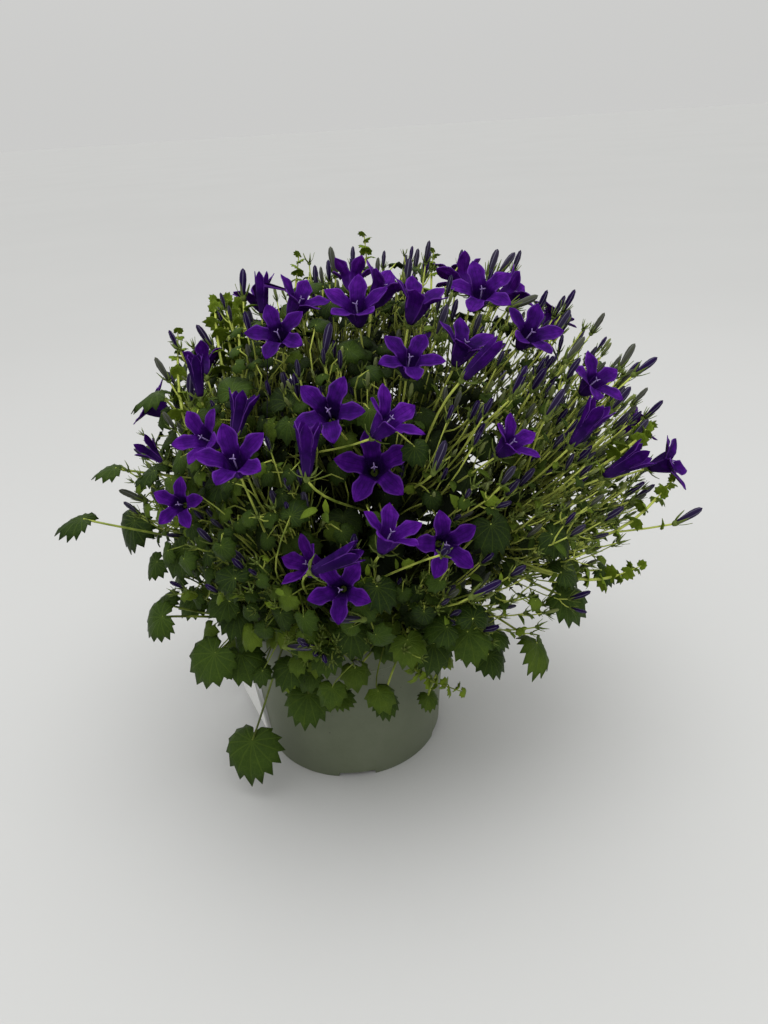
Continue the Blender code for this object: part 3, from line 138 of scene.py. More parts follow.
bloomForm = {
    "bloomPetals": 5,
    "funnel": 0.0110,
    "funnelBase": 0.0017,
    "throatRadius": 0.0052,
    "petalLength": 0.0125,
    "petalWidth": 0.0096,
    "petalShut": -6,
    "petalOpen": 74,
    "petalTuck": -10,
    "petalCurl": 24,
    "petalKeel": 0.0010,
    "shutThroat": 0.62,
    "shutTurn": 0.8,
    "halfOpen": 0.5,
    "petalSteps": 4,
    "petalLeastOut": 0.001,
    "petalWidest": 0.35,
    "petalRootWidth": 0.80,
    "petalPoint": 0.8,
    "bloomBalls": ((0.15, 0.0026), (0.4, 0.0034), (0.7, 0.0048), (1.0, 0.0058)),
    "petalBalls": (
        (0.22, 0.0, 0.0042), (0.45, 0.7, 0.0026), (0.45, -0.7, 0.0026),
        (0.6, 0.0, 0.0038), (0.8, 0.0, 0.0030), (1.0, 0.0, 0.0016),
    ),
    "calyxGap": 0.0015,
    "calyxSpike": 0.0075,
    "calyxRise": 0.0024,
    "calyxBall": 0.0022,
    "spikeBalls": ((0.45, 0.0012), (0.7, 0.0009), (0.97, 0.0005)),
}
budForm = {
    "length": 0.0165,
    "radius": 0.0026,
    "calyx": 0.8,
    "spin": 0.3,
    "balls": ((0.25, 0.0026), (0.5, 0.0026), (0.75, 0.0026), (1.0, 0.001)),
}
leafForm = {
    "reach": (
        (0, 1.0), (30, 0.94), (60, 0.84), (90, 0.77), (120, 0.67), (150, 0.52), (170, 0.26), (180, 0.05),
    ),
    "cup": 0.30,
    "roll": 0.9,
    "droop": 0.5,
    "hold": 0.35,
    "ball": 0.0019,
    "ballStep": 0.0027,
    "spare": 0.0008,
    "stub": 0.03,
}
growing = {
    "farBlooms": 8,
    "farFrom": math.radians(-3),
    "farTo": math.radians(183),
    "farHeights": (8, 38, 58, 24),
    "skirtLeaves": 10,
    "skirtFrom": math.radians(-12),
    "skirtTo": math.radians(192),
    "skirtOut": 0.070,
    "skirtHeight": 0.104,
    "skirtLengths": (0.014, 0.018),
    "floorLeaves": 5,
    "floorOut": 0.030,
    "floorHeight": 0.110,
    "floorLengths": (0.012, 0.016),
    "ruleLeaves": 18,
    "ruleFrom": math.radians(-12),
    "ruleTo": math.radians(192),
    "ruleLengths": (0.0125, 0.0144),
    "ruleBuds": 12,
    "bloomSeed": 11,
    "plantSeed": 1,
    "bloomOwner": 100,
    "cardOwner": 99,
    "bloomTries": 80,
    "bloomShift": 0.0006,
    "leafTries": 26,
    "budTries": 22,
    "pieceShift": 0.0006,
    "depthShift": 3.0,
    "branchTries": 40,
    "branchWander": 0.012,
    "stalkStub": 0.008,
    "nearStems": 7,
}

goldenTurn = math.radians(137.508)
goldenShare = 0.618034
stalkKind = dict(steps=stemForm["stemSteps"], radius=stemForm["stemRadius"])
twigKind = dict(steps=stemForm["twigSteps"], radius=stemForm["twigRadius"])
budTwigKind = dict(steps=stemForm["stemSteps"], radius=stemForm["twigRadius"])
everyStem = list(range(stemForm["leafyStems"]))


def namedRows(names, rows):
    # A row may stop early
    return [dict(zip(names, row)) for row in rows]


# Where marks stand in the picture, in pixels; faces are (right, up, towards the eye), depths in metres
seenBlooms = namedRows(("at", "face", "opened", "size", "deep", "tip"), (
    ((277, 332), (-0.1, 0.35, 0.93), 1.0, 0.92),
    ((301, 299), (0.5, 0.7, 0.5), 0.8, 0.95),
    ((262, 291), (0.0, 1.0, 0.2), 0.15, 0.95),
    ((356, 304), (-0.1, 0.6, 0.75), 0.8, 1.05),
    ((381, 286), (0.45, 0.8, 0.3), 0.7, 1.0),
    ((352, 276), (0.0, 0.9, -0.3), 0.7, 0.9, 0.03),
    ((408, 290), (0.3, 0.8, 0.4), 0.7, 1.0),
    ((482, 289), (0.0, 0.5, 0.87), 1.0, 1.05, 0.0, (474, 258)),
    ((460, 276), (-0.4, 0.8, -0.3), 0.8, 1.0, 0.03),
    ((513, 292), (0.85, 0.45, 0.2), 0.7, 0.95),
    ((466, 342), (0.35, 0.75, 0.5), 0.8, 1.0),
    ((410, 357), (0.1, 0.6, 0.75), 1.0, 0.95, 0.0, (437, 362)),
    ((532, 332), (0.35, 0.45, 0.8), 0.85, 1.0),
    ((488, 356), (0.68, 0.7, 0.2), 0.1, 1.0),
    ((597, 380), (0.45, 0.45, 0.75), 0.95, 0.95),
    ((592, 421), (0.5, 0.75, 0.3), 0.3, 1.05),
    ((514, 441), (0.55, 0.55, 0.6), 0.8, 0.85),
    ((628, 463), (0.8, 0.5, 0.2), 0.3, 1.1),
    ((672, 462), (0.8, 0.25, 0.5), 0.9, 1.0, 0.0, (655, 433)),
    ((328, 410), (-0.1, 0.35, 0.95), 1.0, 1.0, 0.0, (296, 383)),
    ((388, 416), (0.6, 0.6, 0.5), 0.8, 1.0),
    ((367, 462), (0.0, 0.2, 0.98), 1.0, 1.1, 0.0, (361, 422)),
    ((301, 451), (0.05, 1.0, 0.2), 0.25, 1.0),
    ((201, 437), (-0.5, 0.3, 0.8), 0.85, 0.95),
    ((235, 449), (-0.05, 0.5, 0.8), 0.85, 1.05),
    ((237, 418), (0.2, 0.9, 0.0), 0.35, 0.95, 0.015),
    ((178, 504), (-0.15, 0.1, 0.98), 1.0, 0.78, 0.0, (180, 487)),
    ((392, 533), (0.35, 0.75, 0.5), 0.8, 0.95),
    ((450, 542), (0.25, 0.05, 0.95), 1.0, 0.95, 0.0, (441, 504)),
    ((340, 590), (-0.1, 0.1, 0.98), 0.95, 0.92, 0.0, (319, 560)),
    ((305, 566), (-0.7, 0.4, 0.5), 0.7, 0.95),
    ((340, 550), (0.85, 0.4, 0.2), 0.2, 1.0),
    ((197, 374), (-0.1, 0.9, 0.2), 0.2, 0.9),
    ((203, 362), (-0.3, 0.8, -0.5), 0.7, 0.85, 0.04),
    ((152, 452), (-0.7, 0.5, -0.3), 0.4, 0.8, 0.03),
))
seenBuds = namedRows(("at", "points", "deep", "leafy", "foot"), (
    ((302, 647), (0.98, 0.05, 0.2)),
    ((345, 619), (-0.98, 0.05, 0.2)),
    ((488, 588), (0.85, 0.5, 0.2)),
    ((690, 515), (0.8, 0.5, 0.2)),
    ((245, 281), (0.0, 1.0, 0.1)),
    ((328, 338), (0.2, 0.97, 0.3)),
    ((407, 268), (0.1, 1.0, 0.1)),
    ((423, 269), (0.2, 1.0, 0.0)),
    ((491, 261), (0.3, 0.9, 0.0)),
    ((507, 264), (0.6, 0.8, 0.0)),
    ((526, 298), (0.9, 0.4, 0.1)),
    ((563, 322), (0.5, 0.85, 0.1)),
    ((628, 355), (0.5, 0.85, 0.1)),
    ((645, 367), (0.8, 0.6, 0.0)),
    ((640, 430), (0.6, 0.8, 0.1)),
    ((440, 455), (0.3, 0.9, 0.4)),
    ((190, 388), (0.0, 1.0, 0.1)),
    ((365, 243), (-0.1, 1.0, 0.0), 0.06, True),
    ((298, 264), (0.1, 1.0, 0.0), 0.04, True),
    ((433, 259), (0.1, 1.0, 0.0), 0.06, True),
    ((578, 350), (0.6, 0.8, 0.0)),
    ((448, 322), (0.3, 0.95, 0.2)),
    ((520, 380), (0.4, 0.9, 0.2)),
    ((556, 402), (0.5, 0.85, 0.2)),
    ((622, 398), (0.6, 0.8, 0.1)),
    ((180, 340), (0.0, 1.0, 0.0), 0.0, True, (176, 467)),
))
seenLeaves = namedRows(("at", "tip", "face", "length", "deep"), (
    ((72, 519), 175, (0.0, 0.9, 0.4), 0.014),
    ((106, 468), 170, (0.0, 0.9, 0.35), 0.012),
    ((142, 471), 150, (-0.2, 0.8, 0.5), 0.012, 0.006),
    ((131, 533), 250, (-0.4, 0.3, 0.8), 0.016),
    ((151, 567), 220, (-0.4, 0.4, 0.8), 0.010),
    ((153, 621), 200, (-0.3, 0.4, 0.85), 0.0135),
    ((163, 594), 110, (-0.4, 0.5, 0.7), 0.010, 0.010),
    ((176, 558), 240, (-0.3, 0.4, 0.85), 0.014, 0.008),
    ((187, 606), 230, (-0.2, 0.5, 0.85), 0.012, 0.008),
    ((206, 664), 235, (-0.2, 0.4, 0.9), 0.017),
    ((244, 664), 290, (0.0, 0.5, 0.85), 0.015, 0.004),
    ((227, 633), 260, (0.0, 0.6, 0.8), 0.012, 0.004),
    ((219, 604), 200, (0.0, 0.5, 0.85), 0.012, 0.014),
    ((229, 572), 130, (-0.1, 0.5, 0.85), 0.011),
    ((154, 399), 165, (-0.2, 0.9, 0.35), 0.015),
    ((222, 384), 100, (-0.2, 0.4, 0.85), 0.012),
    ((286, 391), 80, (0.0, 0.5, 0.8), 0.0135, 0.012),
    ((212, 484), 200, (-0.2, 0.5, 0.85), 0.0105, 0.008),
    ((338, 524), 265, (0.0, 0.45, 0.9), 0.0125, 0.010),
    ((286, 673), 250, (0.0, 0.5, 0.85), 0.012),
    ((326, 660), 270, (0.0, 0.5, 0.85), 0.012, 0.004),
    ((356, 640), 290, (0.1, 0.5, 0.85), 0.012, 0.006),
    ((385, 597), 300, (0.1, 0.5, 0.85), 0.011, 0.008),
    ((410, 650), 280, (0.0, 0.5, 0.85), 0.012, 0.006),
    ((433, 656), 260, (0.1, 0.5, 0.85), 0.013),
    ((438, 630), 200, (0.0, 0.6, 0.8), 0.011, 0.006),
    ((470, 612), 90, (0.1, 0.6, 0.8), 0.011, 0.008),
    ((472, 644), 280, (0.1, 0.5, 0.85), 0.015),
    ((495, 662), 300, (0.2, 0.5, 0.8), 0.012, 0.008),
    ((497, 632), 350, (0.2, 0.7, 0.6), 0.010, 0.012),
    ((541, 652), 250, (0.6, 0.6, 0.5), 0.015),
    ((573, 600), 335, (0.2, 0.6, 0.75), 0.016),
    ((608, 574), 320, (0.2, 0.6, 0.75), 0.009),
    ((569, 570), 30, (0.2, 0.6, 0.75), 0.011, 0.006),
    ((561, 541), 320, (0.2, 0.5, 0.8), 0.012, 0.010),
    ((493, 535), 270, (0.1, 0.5, 0.85), 0.013, 0.014),
))
hangingLeaves = namedRows(("at", "tip", "face", "length", "front"), (
    ((249, 756), 268, (-0.25, 0.45, 0.85), 0.021, 0.062),
    ((306, 706), 262, (0.0, 0.5, 0.85), 0.016, 0.066),
    ((345, 698), 350, (0.0, 0.7, 0.7), 0.009, 0.068),
    ((387, 706), 285, (0.1, 0.5, 0.85), 0.010, 0.066),
    ((430, 701), 280, (0.2, 0.5, 0.8), 0.008, 0.052),
))


def wallRadius(height):
    return potForm["baseRadius"] + potForm["wallTaper"] * height


def flatWay(turn):
    return Vector((math.cos(turn), math.sin(turn), 0))


def cardAxes():
    outward = flatWay(cardForm["bearing"])
    along = Vector((outward.y, -outward.x, 0))
    return outward, along


def cardOut(height):
    # Distance of the card's inner face from the pot's axis
    share = (height - cardForm["foot"]) / (cardForm["top"] - cardForm["foot"])
    return cardForm["footOut"] + share * (cardForm["topOut"] - cardForm["footOut"])


def pictureAxes():
    # Right, up and towards the eye, as the picture shows them
    right = Vector((1, 0, 0))
    up = Vector((0, math.sin(viewpoint["pitch"]), math.cos(viewpoint["pitch"])))
    back = Vector((0, -math.cos(viewpoint["pitch"]), math.sin(viewpoint["pitch"])))
    level = math.cos(viewpoint["roll"]) * right + math.sin(viewpoint["roll"]) * up
    upright = -math.sin(viewpoint["roll"]) * right + math.cos(viewpoint["roll"]) * up
    return level, upright, back


def facing(way):
    level, upright, back = pictureAxes()
    return (way[0] * level + way[1] * upright + way[2] * back).normalized()


def sightLine(pixel):
    level, upright, back = pictureAxes()
    x = pixel[0] - viewpoint["centrePixel"][0]
    y = pixel[1] - viewpoint["centrePixel"][1]
    return (level * x - upright * y - back * viewpoint["focalPixels"]).normalized()


def crownPoint(pixel, deep=0.0):
    # Where the sight line through a pixel meets the crown, or passes closest to it
    line = sightLine(pixel)
    start = Vector([(viewpoint["eye"] - crownForm["centre"])[i] / crownForm["radii"][i] for i in range(3)])
    step = Vector([line[i] / crownForm["radii"][i] for i in range(3)])
    a = step.dot(step)
    b = start.dot(step)
    c = start.dot(start) - 1
    reach = (-b - math.sqrt(max(0.0, b * b - a * c))) / a
    return viewpoint["eye"] + line * (reach + deep)


def frontPoint(pixel, front):
    # Where the sight line through a pixel meets the upright plane that far in front of the pot's axis
    line = sightLine(pixel)
    return viewpoint["eye"] + line * ((-front - viewpoint["eye"].y) / line.y)


def toStraight(point):
    # Undoes the crown's lean and droop, so that stems become straight rays from the apex
    x = point.x - stemForm["lean"] * (point.z - soilForm["top"])
    over = max(0.0, math.hypot(x, point.y) - stemForm["droopFrom"])
    return Vector((x, point.y, point.z + stemForm["droop"] * over * over))


def toWorld(point):
    over = max(0.0, math.hypot(point.x, point.y) - stemForm["droopFrom"])
    z = point.z - stemForm["droop"] * over * over
    return Vector((point.x + stemForm["lean"] * (z - soilForm["top"]), point.y, z))


def uprightTo(direction):
    # A unit vector square to a direction, as upright as it can be
    base = Vector((0, 0, 1)) if abs(direction.z) < 0.95 else Vector((0, 1, 0))
    return (base - direction * base.dot(direction)).normalized()


def curvePoints(start, leave, arrive, end, steps):
    points = []
    for i in range(steps + 1):
        t = i / steps
        s = 1 - t
        points.append(s**3 * start + 3 * s * s * t * leave + 3 * s * t * t * arrive + t**3 * end)
    return points


def bladeReach(angle):
    # Reach of a leaf's edge from its stalk, as a share of its length, at an angle from its tip
    for (low, near), (high, far) in zip(leafForm["reach"], leafForm["reach"][1:]):
        if angle <= high:
            return near + (far - near) * (angle - low) / (high - low)
    return leafForm["reach"][-1][1]


def bladeHeight(x, y, length):
    # A blade is cupped along its midrib and droops towards its edges
    return leafForm["cup"] * abs(x) - (leafForm["roll"] * x * x + leafForm["droop"] * y * y) / length


class Crowd:
    # Balls that stand for what has been placed, each with its owner, to keep new pieces clear

    def __init__(self):
        self.centres = np.zeros((0, 3))
        self.radii = np.zeros(0)
        self.owners = np.zeros(0, int)

    def add(self, balls, owner):
        self.centres = np.vstack([self.centres, [tuple(centre) for centre, _ in balls]])
        self.radii = np.concatenate([self.radii, [radius for _, radius in balls]])
        self.owners = np.concatenate([self.owners, np.full(len(balls), owner)])

    def crossed(self, balls, allowed):
        if not balls:
            return False
        if any(meetsPot(centre, radius) for centre, radius in balls):
            return True
        centres = np.array([tuple(centre) for centre, _ in balls])
        radii = np.array([radius for _, radius in balls])
        middle = centres.mean(axis=0)
        reach = (np.linalg.norm(centres - middle, axis=1) + radii).max() + stemForm["clearance"]
        near = np.linalg.norm(self.centres - middle, axis=1) < reach + self.radii
        near &= ~np.isin(self.owners, allowed)
        if not near.any():
            return False
        apart = np.linalg.norm(centres[:, None] - self.centres[near][None], axis=2)
        return bool((apart < radii[:, None] + self.radii[near][None] + stemForm["clearance"]).any())


def meetsPot(centre, radius):
    out = math.hypot(centre.x, centre.y)
    if centre.z - radius > potForm["height"] + stemForm["clearance"]:
        return False
    lipOut = wallRadius(potForm["height"]) + potForm["lipProud"]
    if out < wallRadius(soilForm["top"]) - potForm["wall"] - radius - stemForm["clearance"]:
        return centre.z - radius < soilForm["top"] + soilForm["bump"] + stemForm["clearance"]
    if centre.z > potForm["height"] - potForm["lipHeight"] - radius:
        return out < lipOut + radius + stemForm["clearance"]
    if centre.z < stemForm["tableClear"] + radius:
        return True
    return out < wallRadius(centre.z) + radius + stemForm["clearance"]


def stemBalls(points, radius):
    balls = []
    for a, b in zip(points, points[1:]):
        count = max(1, math.ceil((b - a).length / stemForm["stemBallStep"]))
        balls += [(a.lerp(b, k / count), radius) for k in range(count + 1)]
    return balls


def bloomBalls(bloom):
    base, axis, size = bloom["base"], bloom["axis"], bloom["size"]
    throat = base + axis * bloomForm["funnel"] * size
    balls = []
    for share, radius in bloomForm["bloomBalls"]:
        balls.append((base + axis * bloomForm["funnel"] * size * share, radius * size))
    for k in range(bloomForm["bloomPetals"]):
        for along, across, radius in bloomForm["petalBalls"]:
            place = petalPlace(along, across, bloom["opened"], k, bloom["spin"], size)
            balls.append((throat + outOf(axis, place), radius * size))
    return balls


def outOf(axis, place):
    # A place given as (sideways, upright, along) about an axis
    up = uprightTo(axis)
    side = up.cross(axis)
    return side * place[0] + up * place[1] + axis * place[2]


def petalAngle(opened, along):
    # Angle of a petal's midrib from the bloom's axis, from a shut bud to a star with tips bent back
    curl = bloomForm["petalCurl"] * opened + bloomForm["petalTuck"]
    return math.radians(bloomForm["petalShut"] + bloomForm["petalOpen"] * opened + curl * along)


def petalPlace(along, across, opened, which, spin, size):
    # A point of a petal, from the throat: along from 0 to 1 at its tip, across from -1 to 1
    step = along / bloomForm["petalSteps"]
    out = bloomForm["throatRadius"] * (bloomForm["shutThroat"] + (1 - bloomForm["shutThroat"]) * opened)
    rise = 0.0
    for k in range(bloomForm["petalSteps"]):
        angle = petalAngle(opened, step * (k + 0.5))
        out += math.sin(angle) * bloomForm["petalLength"] * step
        rise += math.cos(angle) * bloomForm["petalLength"] * step
    out = max(out, bloomForm["petalLeastOut"])
    width = petalWidth(along) * bloomForm["petalWidth"] / 2
    turn = math.atan2(width * across, out)
    turn *= 1.0 if opened > bloomForm["halfOpen"] else bloomForm["shutTurn"]
    most = math.pi / bloomForm["bloomPetals"]
    turn = max(-most, min(most, turn))
    reach = math.hypot(out, width * across) if opened > bloomForm["halfOpen"] else out
    bearing = spin + 2 * math.pi * which / bloomForm["bloomPetals"] + turn
    keel = bloomForm["petalKeel"] * abs(across) * math.sin(math.pi * min(1.0, along + 0.15))
    return size * reach * math.cos(bearing), size * reach * math.sin(bearing), size * (rise + keel)


def petalWidth(along):
    # Width of a petal as a share of its widest
    if along < bloomForm["petalWidest"]:
        swell = math.sin(math.pi / 2 * along / bloomForm["petalWidest"])
        return bloomForm["petalRootWidth"] + (1 - bloomForm["petalRootWidth"]) * swell
    past = (along - bloomForm["petalWidest"]) / (1 - bloomForm["petalWidest"])
    return max(0.0, math.cos(math.pi / 2 * past)) ** bloomForm["petalPoint"]


def leafBalls(leaf):
    balls = []
    length = leaf["length"]
    count = int(length / leafForm["ballStep"]) + 1
    for i in range(-count, count + 1):
        for j in range(-count, count + 1):
            x, y = i * leafForm["ballStep"], j * leafForm["ballStep"]
            angle = math.degrees(math.atan2(abs(x), y))
            if math.hypot(x, y) < length * bladeReach(angle) + leafForm["spare"]:
                balls.append((leafPoint(leaf, x, y, 0.0), leafForm["ball"]))
    return balls


def leafPoint(leaf, x, y, lift):
    side = leaf["tip"].cross(leaf["face"])
    height = bladeHeight(x, y, leaf["length"]) + lift
    return leaf["at"] + side * x + leaf["tip"] * y + leaf["face"] * height


def spikePlace(which, share, spin):
    # A point along a calyx spike, from its cup to its tip
    bearing = spin + 2 * math.pi * which / bloomForm["bloomPetals"]
    reach = bloomForm["calyxSpike"] * share
    return Vector((reach * math.cos(bearing), reach * math.sin(bearing), bloomForm["calyxRise"] * share))


def calyxBalls(at, axis, size, spin):
    balls = [(at, bloomForm["calyxBall"] * size)]
    for k in range(bloomForm["bloomPetals"]):
        for share, radius in bloomForm["spikeBalls"]:
            balls.append((at + outOf(axis, spikePlace(k, share, spin)) * size, radius * size))
    return balls


def footBalls(bloom):
    # The calyx behind a bloom, and the end of its stalk
    foot, axis = bloom["foot"], bloom["axis"]
    stub = [foot, foot - axis * growing["stalkStub"]]
    return calyxBalls(foot, axis, 1.0, bloom["calyxSpin"]) + stemBalls(stub, stemForm["stemRadius"])


def budBalls(bud):
    tip = bud["at"] + bud["axis"] * budForm["length"] * bud["size"]
    balls = [(bud["at"].lerp(tip, share), radius * bud["size"]) for share, radius in budForm["balls"]]
    return balls + calyxBalls(bud["at"], bud["axis"], budForm["calyx"] * bud["size"], budForm["spin"])


def spinTo(axis, throatPixel, tipPixel):
    # The bearing about a bloom's axis at which a petal points to a place in the picture
    level, upright, back = pictureAxes()
    way = level * (tipPixel[0] - throatPixel[0]) - upright * (tipPixel[1] - throatPixel[1])
    way -= back * (way.dot(axis) / back.dot(axis))
    up = uprightTo(axis)
    return math.atan2(way.dot(up), way.dot(up.cross(axis)))


def seenBloom(mark):
    axis = facing(mark["face"])
    throat = crownPoint(mark["at"], mark.get("deep", 0.0))
    bloom = dict(throat=throat, line=sightLine(mark["at"]), axis=axis)
    bloom["opened"], bloom["size"] = mark["opened"], mark["size"]
    if "tip" in mark:
        bloom["spin"] = spinTo(axis, mark["at"], mark["tip"])
    return bloom


def farBloom(k):
    turn = growing["farFrom"] + (growing["farTo"] - growing["farFrom"]) * k / (growing["farBlooms"] - 1)
    height = math.radians(growing["farHeights"][k % len(growing["farHeights"])])
    way = Vector((math.cos(turn) * math.cos(height), math.sin(turn) * math.cos(height), math.sin(height)))
    axis = (way + Vector((0, 0, 0.35))).normalized()
    return dict(throat=onCrown(way, 1.0), line=way, axis=axis, opened=1.0 if k % 3 else 0.75, size=0.98)


def placeBlooms(crowd):
    draw = random.Random(growing["bloomSeed"])
    blooms = [seenBloom(mark) for mark in seenBlooms]
    blooms += [farBloom(k) for k in range(growing["farBlooms"])]
    for number, bloom in enumerate(blooms):
        axis = bloom["axis"]
        freeSpin = "spin" not in bloom
        for attempt in range(growing["bloomTries"]):
            moved = bloom["throat"] + shifted(bloom["line"], growing["bloomShift"] * attempt, draw)
            bloom["base"] = moved - axis * bloomForm["funnel"] * bloom["size"]
            bloom["foot"] = bloom["base"] - axis * bloomForm["calyxGap"]
            if freeSpin:
                bloom["spin"] = draw.uniform(0, 2 * math.pi)
            bloom["calyxSpin"] = draw.uniform(0, 2 * math.pi)
            balls = bloomBalls(bloom) + footBalls(bloom)
            if not crowd.crossed(balls, []):
                break
        bloom["owner"] = growing["bloomOwner"] + number
        crowd.add(balls, bloom["owner"])
    return blooms


def shifted(line, shift, draw):
    # A random move, mostly along a line, that grows with each try
    aside = Vector([draw.uniform(-shift, shift) for _ in range(3)])
    return line * draw.uniform(-shift, shift) * growing["depthShift"] / 2 + aside / growing["depthShift"]


def onCrown(way, share):
    return crownForm["centre"] + Vector([way[i] * crownForm["radii"][i] for i in range(3)]) * share


def fanDirections():
    # Trunk directions from the apex, spread evenly over the fan
    ways = []
    for k in range(stemForm["leafyStems"]):
        height = 1 - (k + 0.5) / stemForm["leafyStems"] * (1 - math.cos(stemForm["fanAngle"]))
        flat = math.sqrt(1 - height * height)
        turn = k * goldenTurn
        ways.append(Vector((flat * math.cos(turn), flat * math.sin(turn), height)))
    return ways


def insideCrown(point):
    away = point - crownForm["centre"]
    return sum((away[i] / crownForm["radii"][i]) ** 2 for i in range(3)) < 1


def growTrunk(way):
    # From the bottom of its hole, straight up through the soil, then out along its ray
    root = stemForm["apex"] + way * ((soilForm["top"] - stemForm["apex"].z) / way.z)
    far = stemForm["trunkShortest"]
    while insideCrown(toWorld(stemForm["apex"] + way * far)):
        far += stemForm["trunkPace"]
    tip = stemForm["apex"] + way * far * stemForm["trunkReach"]
    low = Vector((root.x, root.y, soilForm["top"] - soilForm["holeDepth"] + stemForm["rootClear"]))
    top = Vector((root.x, root.y, soilForm["top"] + stemForm["rootUpright"]))
    ray = [toWorld(top.lerp(tip, k / stemForm["trunkSteps"])) for k in range(1, stemForm["trunkSteps"] + 1)]
    return [low, top] + ray


def alongTrunk(trunk, share):
    # The point that far up a trunk's free length, and the way the trunk runs there
    free = trunk[1:]
    place = share * (len(free) - 1)
    k = min(int(place), len(free) - 2)
    return free[k].lerp(free[k + 1], place - k), (free[k + 1] - free[k]).normalized()


def growBranch(plant, number, end, arrive, kind, allowed):
    # A curved stem from a trunk to a place, clear of the other stems, or None
    stem, crowd, draw = plant["stems"][number], plant["crowd"], plant["draw"]
    for attempt in range(growing["branchTries"]):
        start, rise = alongTrunk(stem["trunk"], draw.uniform(stemForm["branchFrom"], stemForm["branchTo"]))
        apart = stemForm["branchSpacing"] * (1 - attempt / growing["branchTries"])
        if any((start - other).length < apart for other in stem["taken"]):
            continue
        span = (end - start).length
        wander = Vector([draw.uniform(-1, 1) for _ in range(3)]) * span * growing["branchWander"] * attempt
        leave = start + rise * span * stemForm["branchLeave"] + wander
        meet = end - arrive * span * draw.uniform(*stemForm["branchArrive"]) - wander / 2
        points = curvePoints(start, leave, meet, end, kind["steps"])
        balls = stemBalls(points, kind["radius"])
        near = [ball for ball in balls if (ball[0] - start).length < stemForm["rootReach"]]
        far = [ball for ball in balls if (ball[0] - start).length >= stemForm["rootReach"]]
        if not crowd.crossed(near, [number] + allowed) and not crowd.crossed(far, allowed):
            stem["taken"].append(start)
            return points, (start, leave, meet, end)
    return None, None


def nearestStems(plant, point):
    direction = (toStraight(point) - stemForm["apex"]).normalized()
    return sorted(range(stemForm["leafyStems"]), key=lambda k: -plant["ways"][k].dot(direction))


def attach(plant, item, end, arrive, balls, kind, choices, allowed):
    # Tries the nearest leafy stems in turn, and keeps the piece with the one that reaches it
    crowd = plant["crowd"]
    if balls and crowd.crossed(balls, allowed):
        return False
    for number in nearestStems(plant, end)[:choices]:
        points, bend = growBranch(plant, number, end, arrive, kind, allowed)
        if points is None:
            continue
        crowd.add(stemBalls(points, kind["radius"]) + balls, number)
        item["bend"] = bend
        item["stem"] = number
        return True
    return False


def holdBloom(plant, bloom):
    owner, every = [bloom["owner"]], stemForm["leafyStems"]
    if attach(plant, bloom, bloom["foot"], bloom["axis"], [], stalkKind, every, owner):
        plant["stems"][bloom["stem"]]["blooms"].append(bloom)


def leafFoot(leaf):
    # Where a leaf's stalk ends, and the way it runs there
    end = leaf["at"] - leaf["tip"] * leaf["length"] * leafForm["stub"]
    return end, (leaf["tip"] * 0.8 + leaf["face"] * 0.3).normalized()


def holdLeaf(plant, leaf):
    home = leaf["at"].copy()
    for attempt in range(growing["leafTries"]):
        end, arrive = leafFoot(leaf)
        if attach(plant, leaf, end, arrive, leafBalls(leaf), twigKind, growing["nearStems"], []):
            plant["stems"][leaf["stem"]]["leaves"].append(leaf)
            return
        leaf["at"] = home + shifted(leaf["line"], growing["pieceShift"] * (attempt + 1), plant["draw"])


def holdBud(plant, bud):
    home = bud["at"].copy()
    for attempt in range(growing["budTries"]):
        if attach(plant, bud, bud["at"], bud["axis"], budBalls(bud), budTwigKind, growing["nearStems"], []):
            plant["stems"][bud["stem"]]["buds"].append(bud)
            return
        bud["at"] = home + shifted(bud["line"], growing["pieceShift"] * (attempt + 1), plant["draw"])


def hangSquare(tip, face):
    # Makes a leaf's tip square to its face
    return (tip - face * tip.dot(face)).normalized()


def seenLeaf(mark, middle):
    face = facing(mark["face"])
    turn = math.radians(mark["tip"])
    tip = hangSquare(facing((math.cos(turn), math.sin(turn), 0)), face)
    leaf = dict(face=face, tip=tip, length=mark["length"], line=sightLine(mark["at"]))
    leaf["at"] = middle - tip * mark["length"] * leafForm["hold"]
    return leaf


def seenBud(mark):
    axis = facing(mark["points"])
    middle = crownPoint(mark["at"], mark.get("deep", 0.0))
    bud = dict(at=middle - axis * budForm["length"] / 2, axis=axis, size=1.0, line=sightLine(mark["at"]))
    bud["leafy"], bud["foot"] = mark.get("leafy", False), mark.get("foot")
    return bud


def skirtLeaf(k, draw):
    span = growing["skirtTo"] - growing["skirtFrom"]
    turn = growing["skirtFrom"] + span * k / (growing["skirtLeaves"] - 1) + draw.uniform(-0.08, 0.08)
    out = flatWay(turn)
    face = (out + Vector((0, 0, draw.uniform(0.7, 1.3)))).normalized()
    tip = hangSquare(out + Vector((draw.uniform(-0.5, 0.5), draw.uniform(-0.5, 0.5), -0.5)), face)
    place = out * (growing["skirtOut"] + draw.uniform(-0.004, 0.010))
    place.z = growing["skirtHeight"] + draw.uniform(-0.008, 0.010)
    return dict(face=face, tip=tip, length=draw.uniform(*growing["skirtLengths"]), at=place, line=out)


def floorLeaf(k, draw):
    out = flatWay(k * goldenTurn)
    face = (out * 0.4 + Vector((0, 0, 1))).normalized()
    place = out * growing["floorOut"] * draw.uniform(0.5, 1.1)
    place.z = growing["floorHeight"] + draw.uniform(-0.008, 0.012)
    tip = hangSquare(out, face)
    return dict(face=face, tip=tip, length=draw.uniform(*growing["floorLengths"]), at=place, line=out)


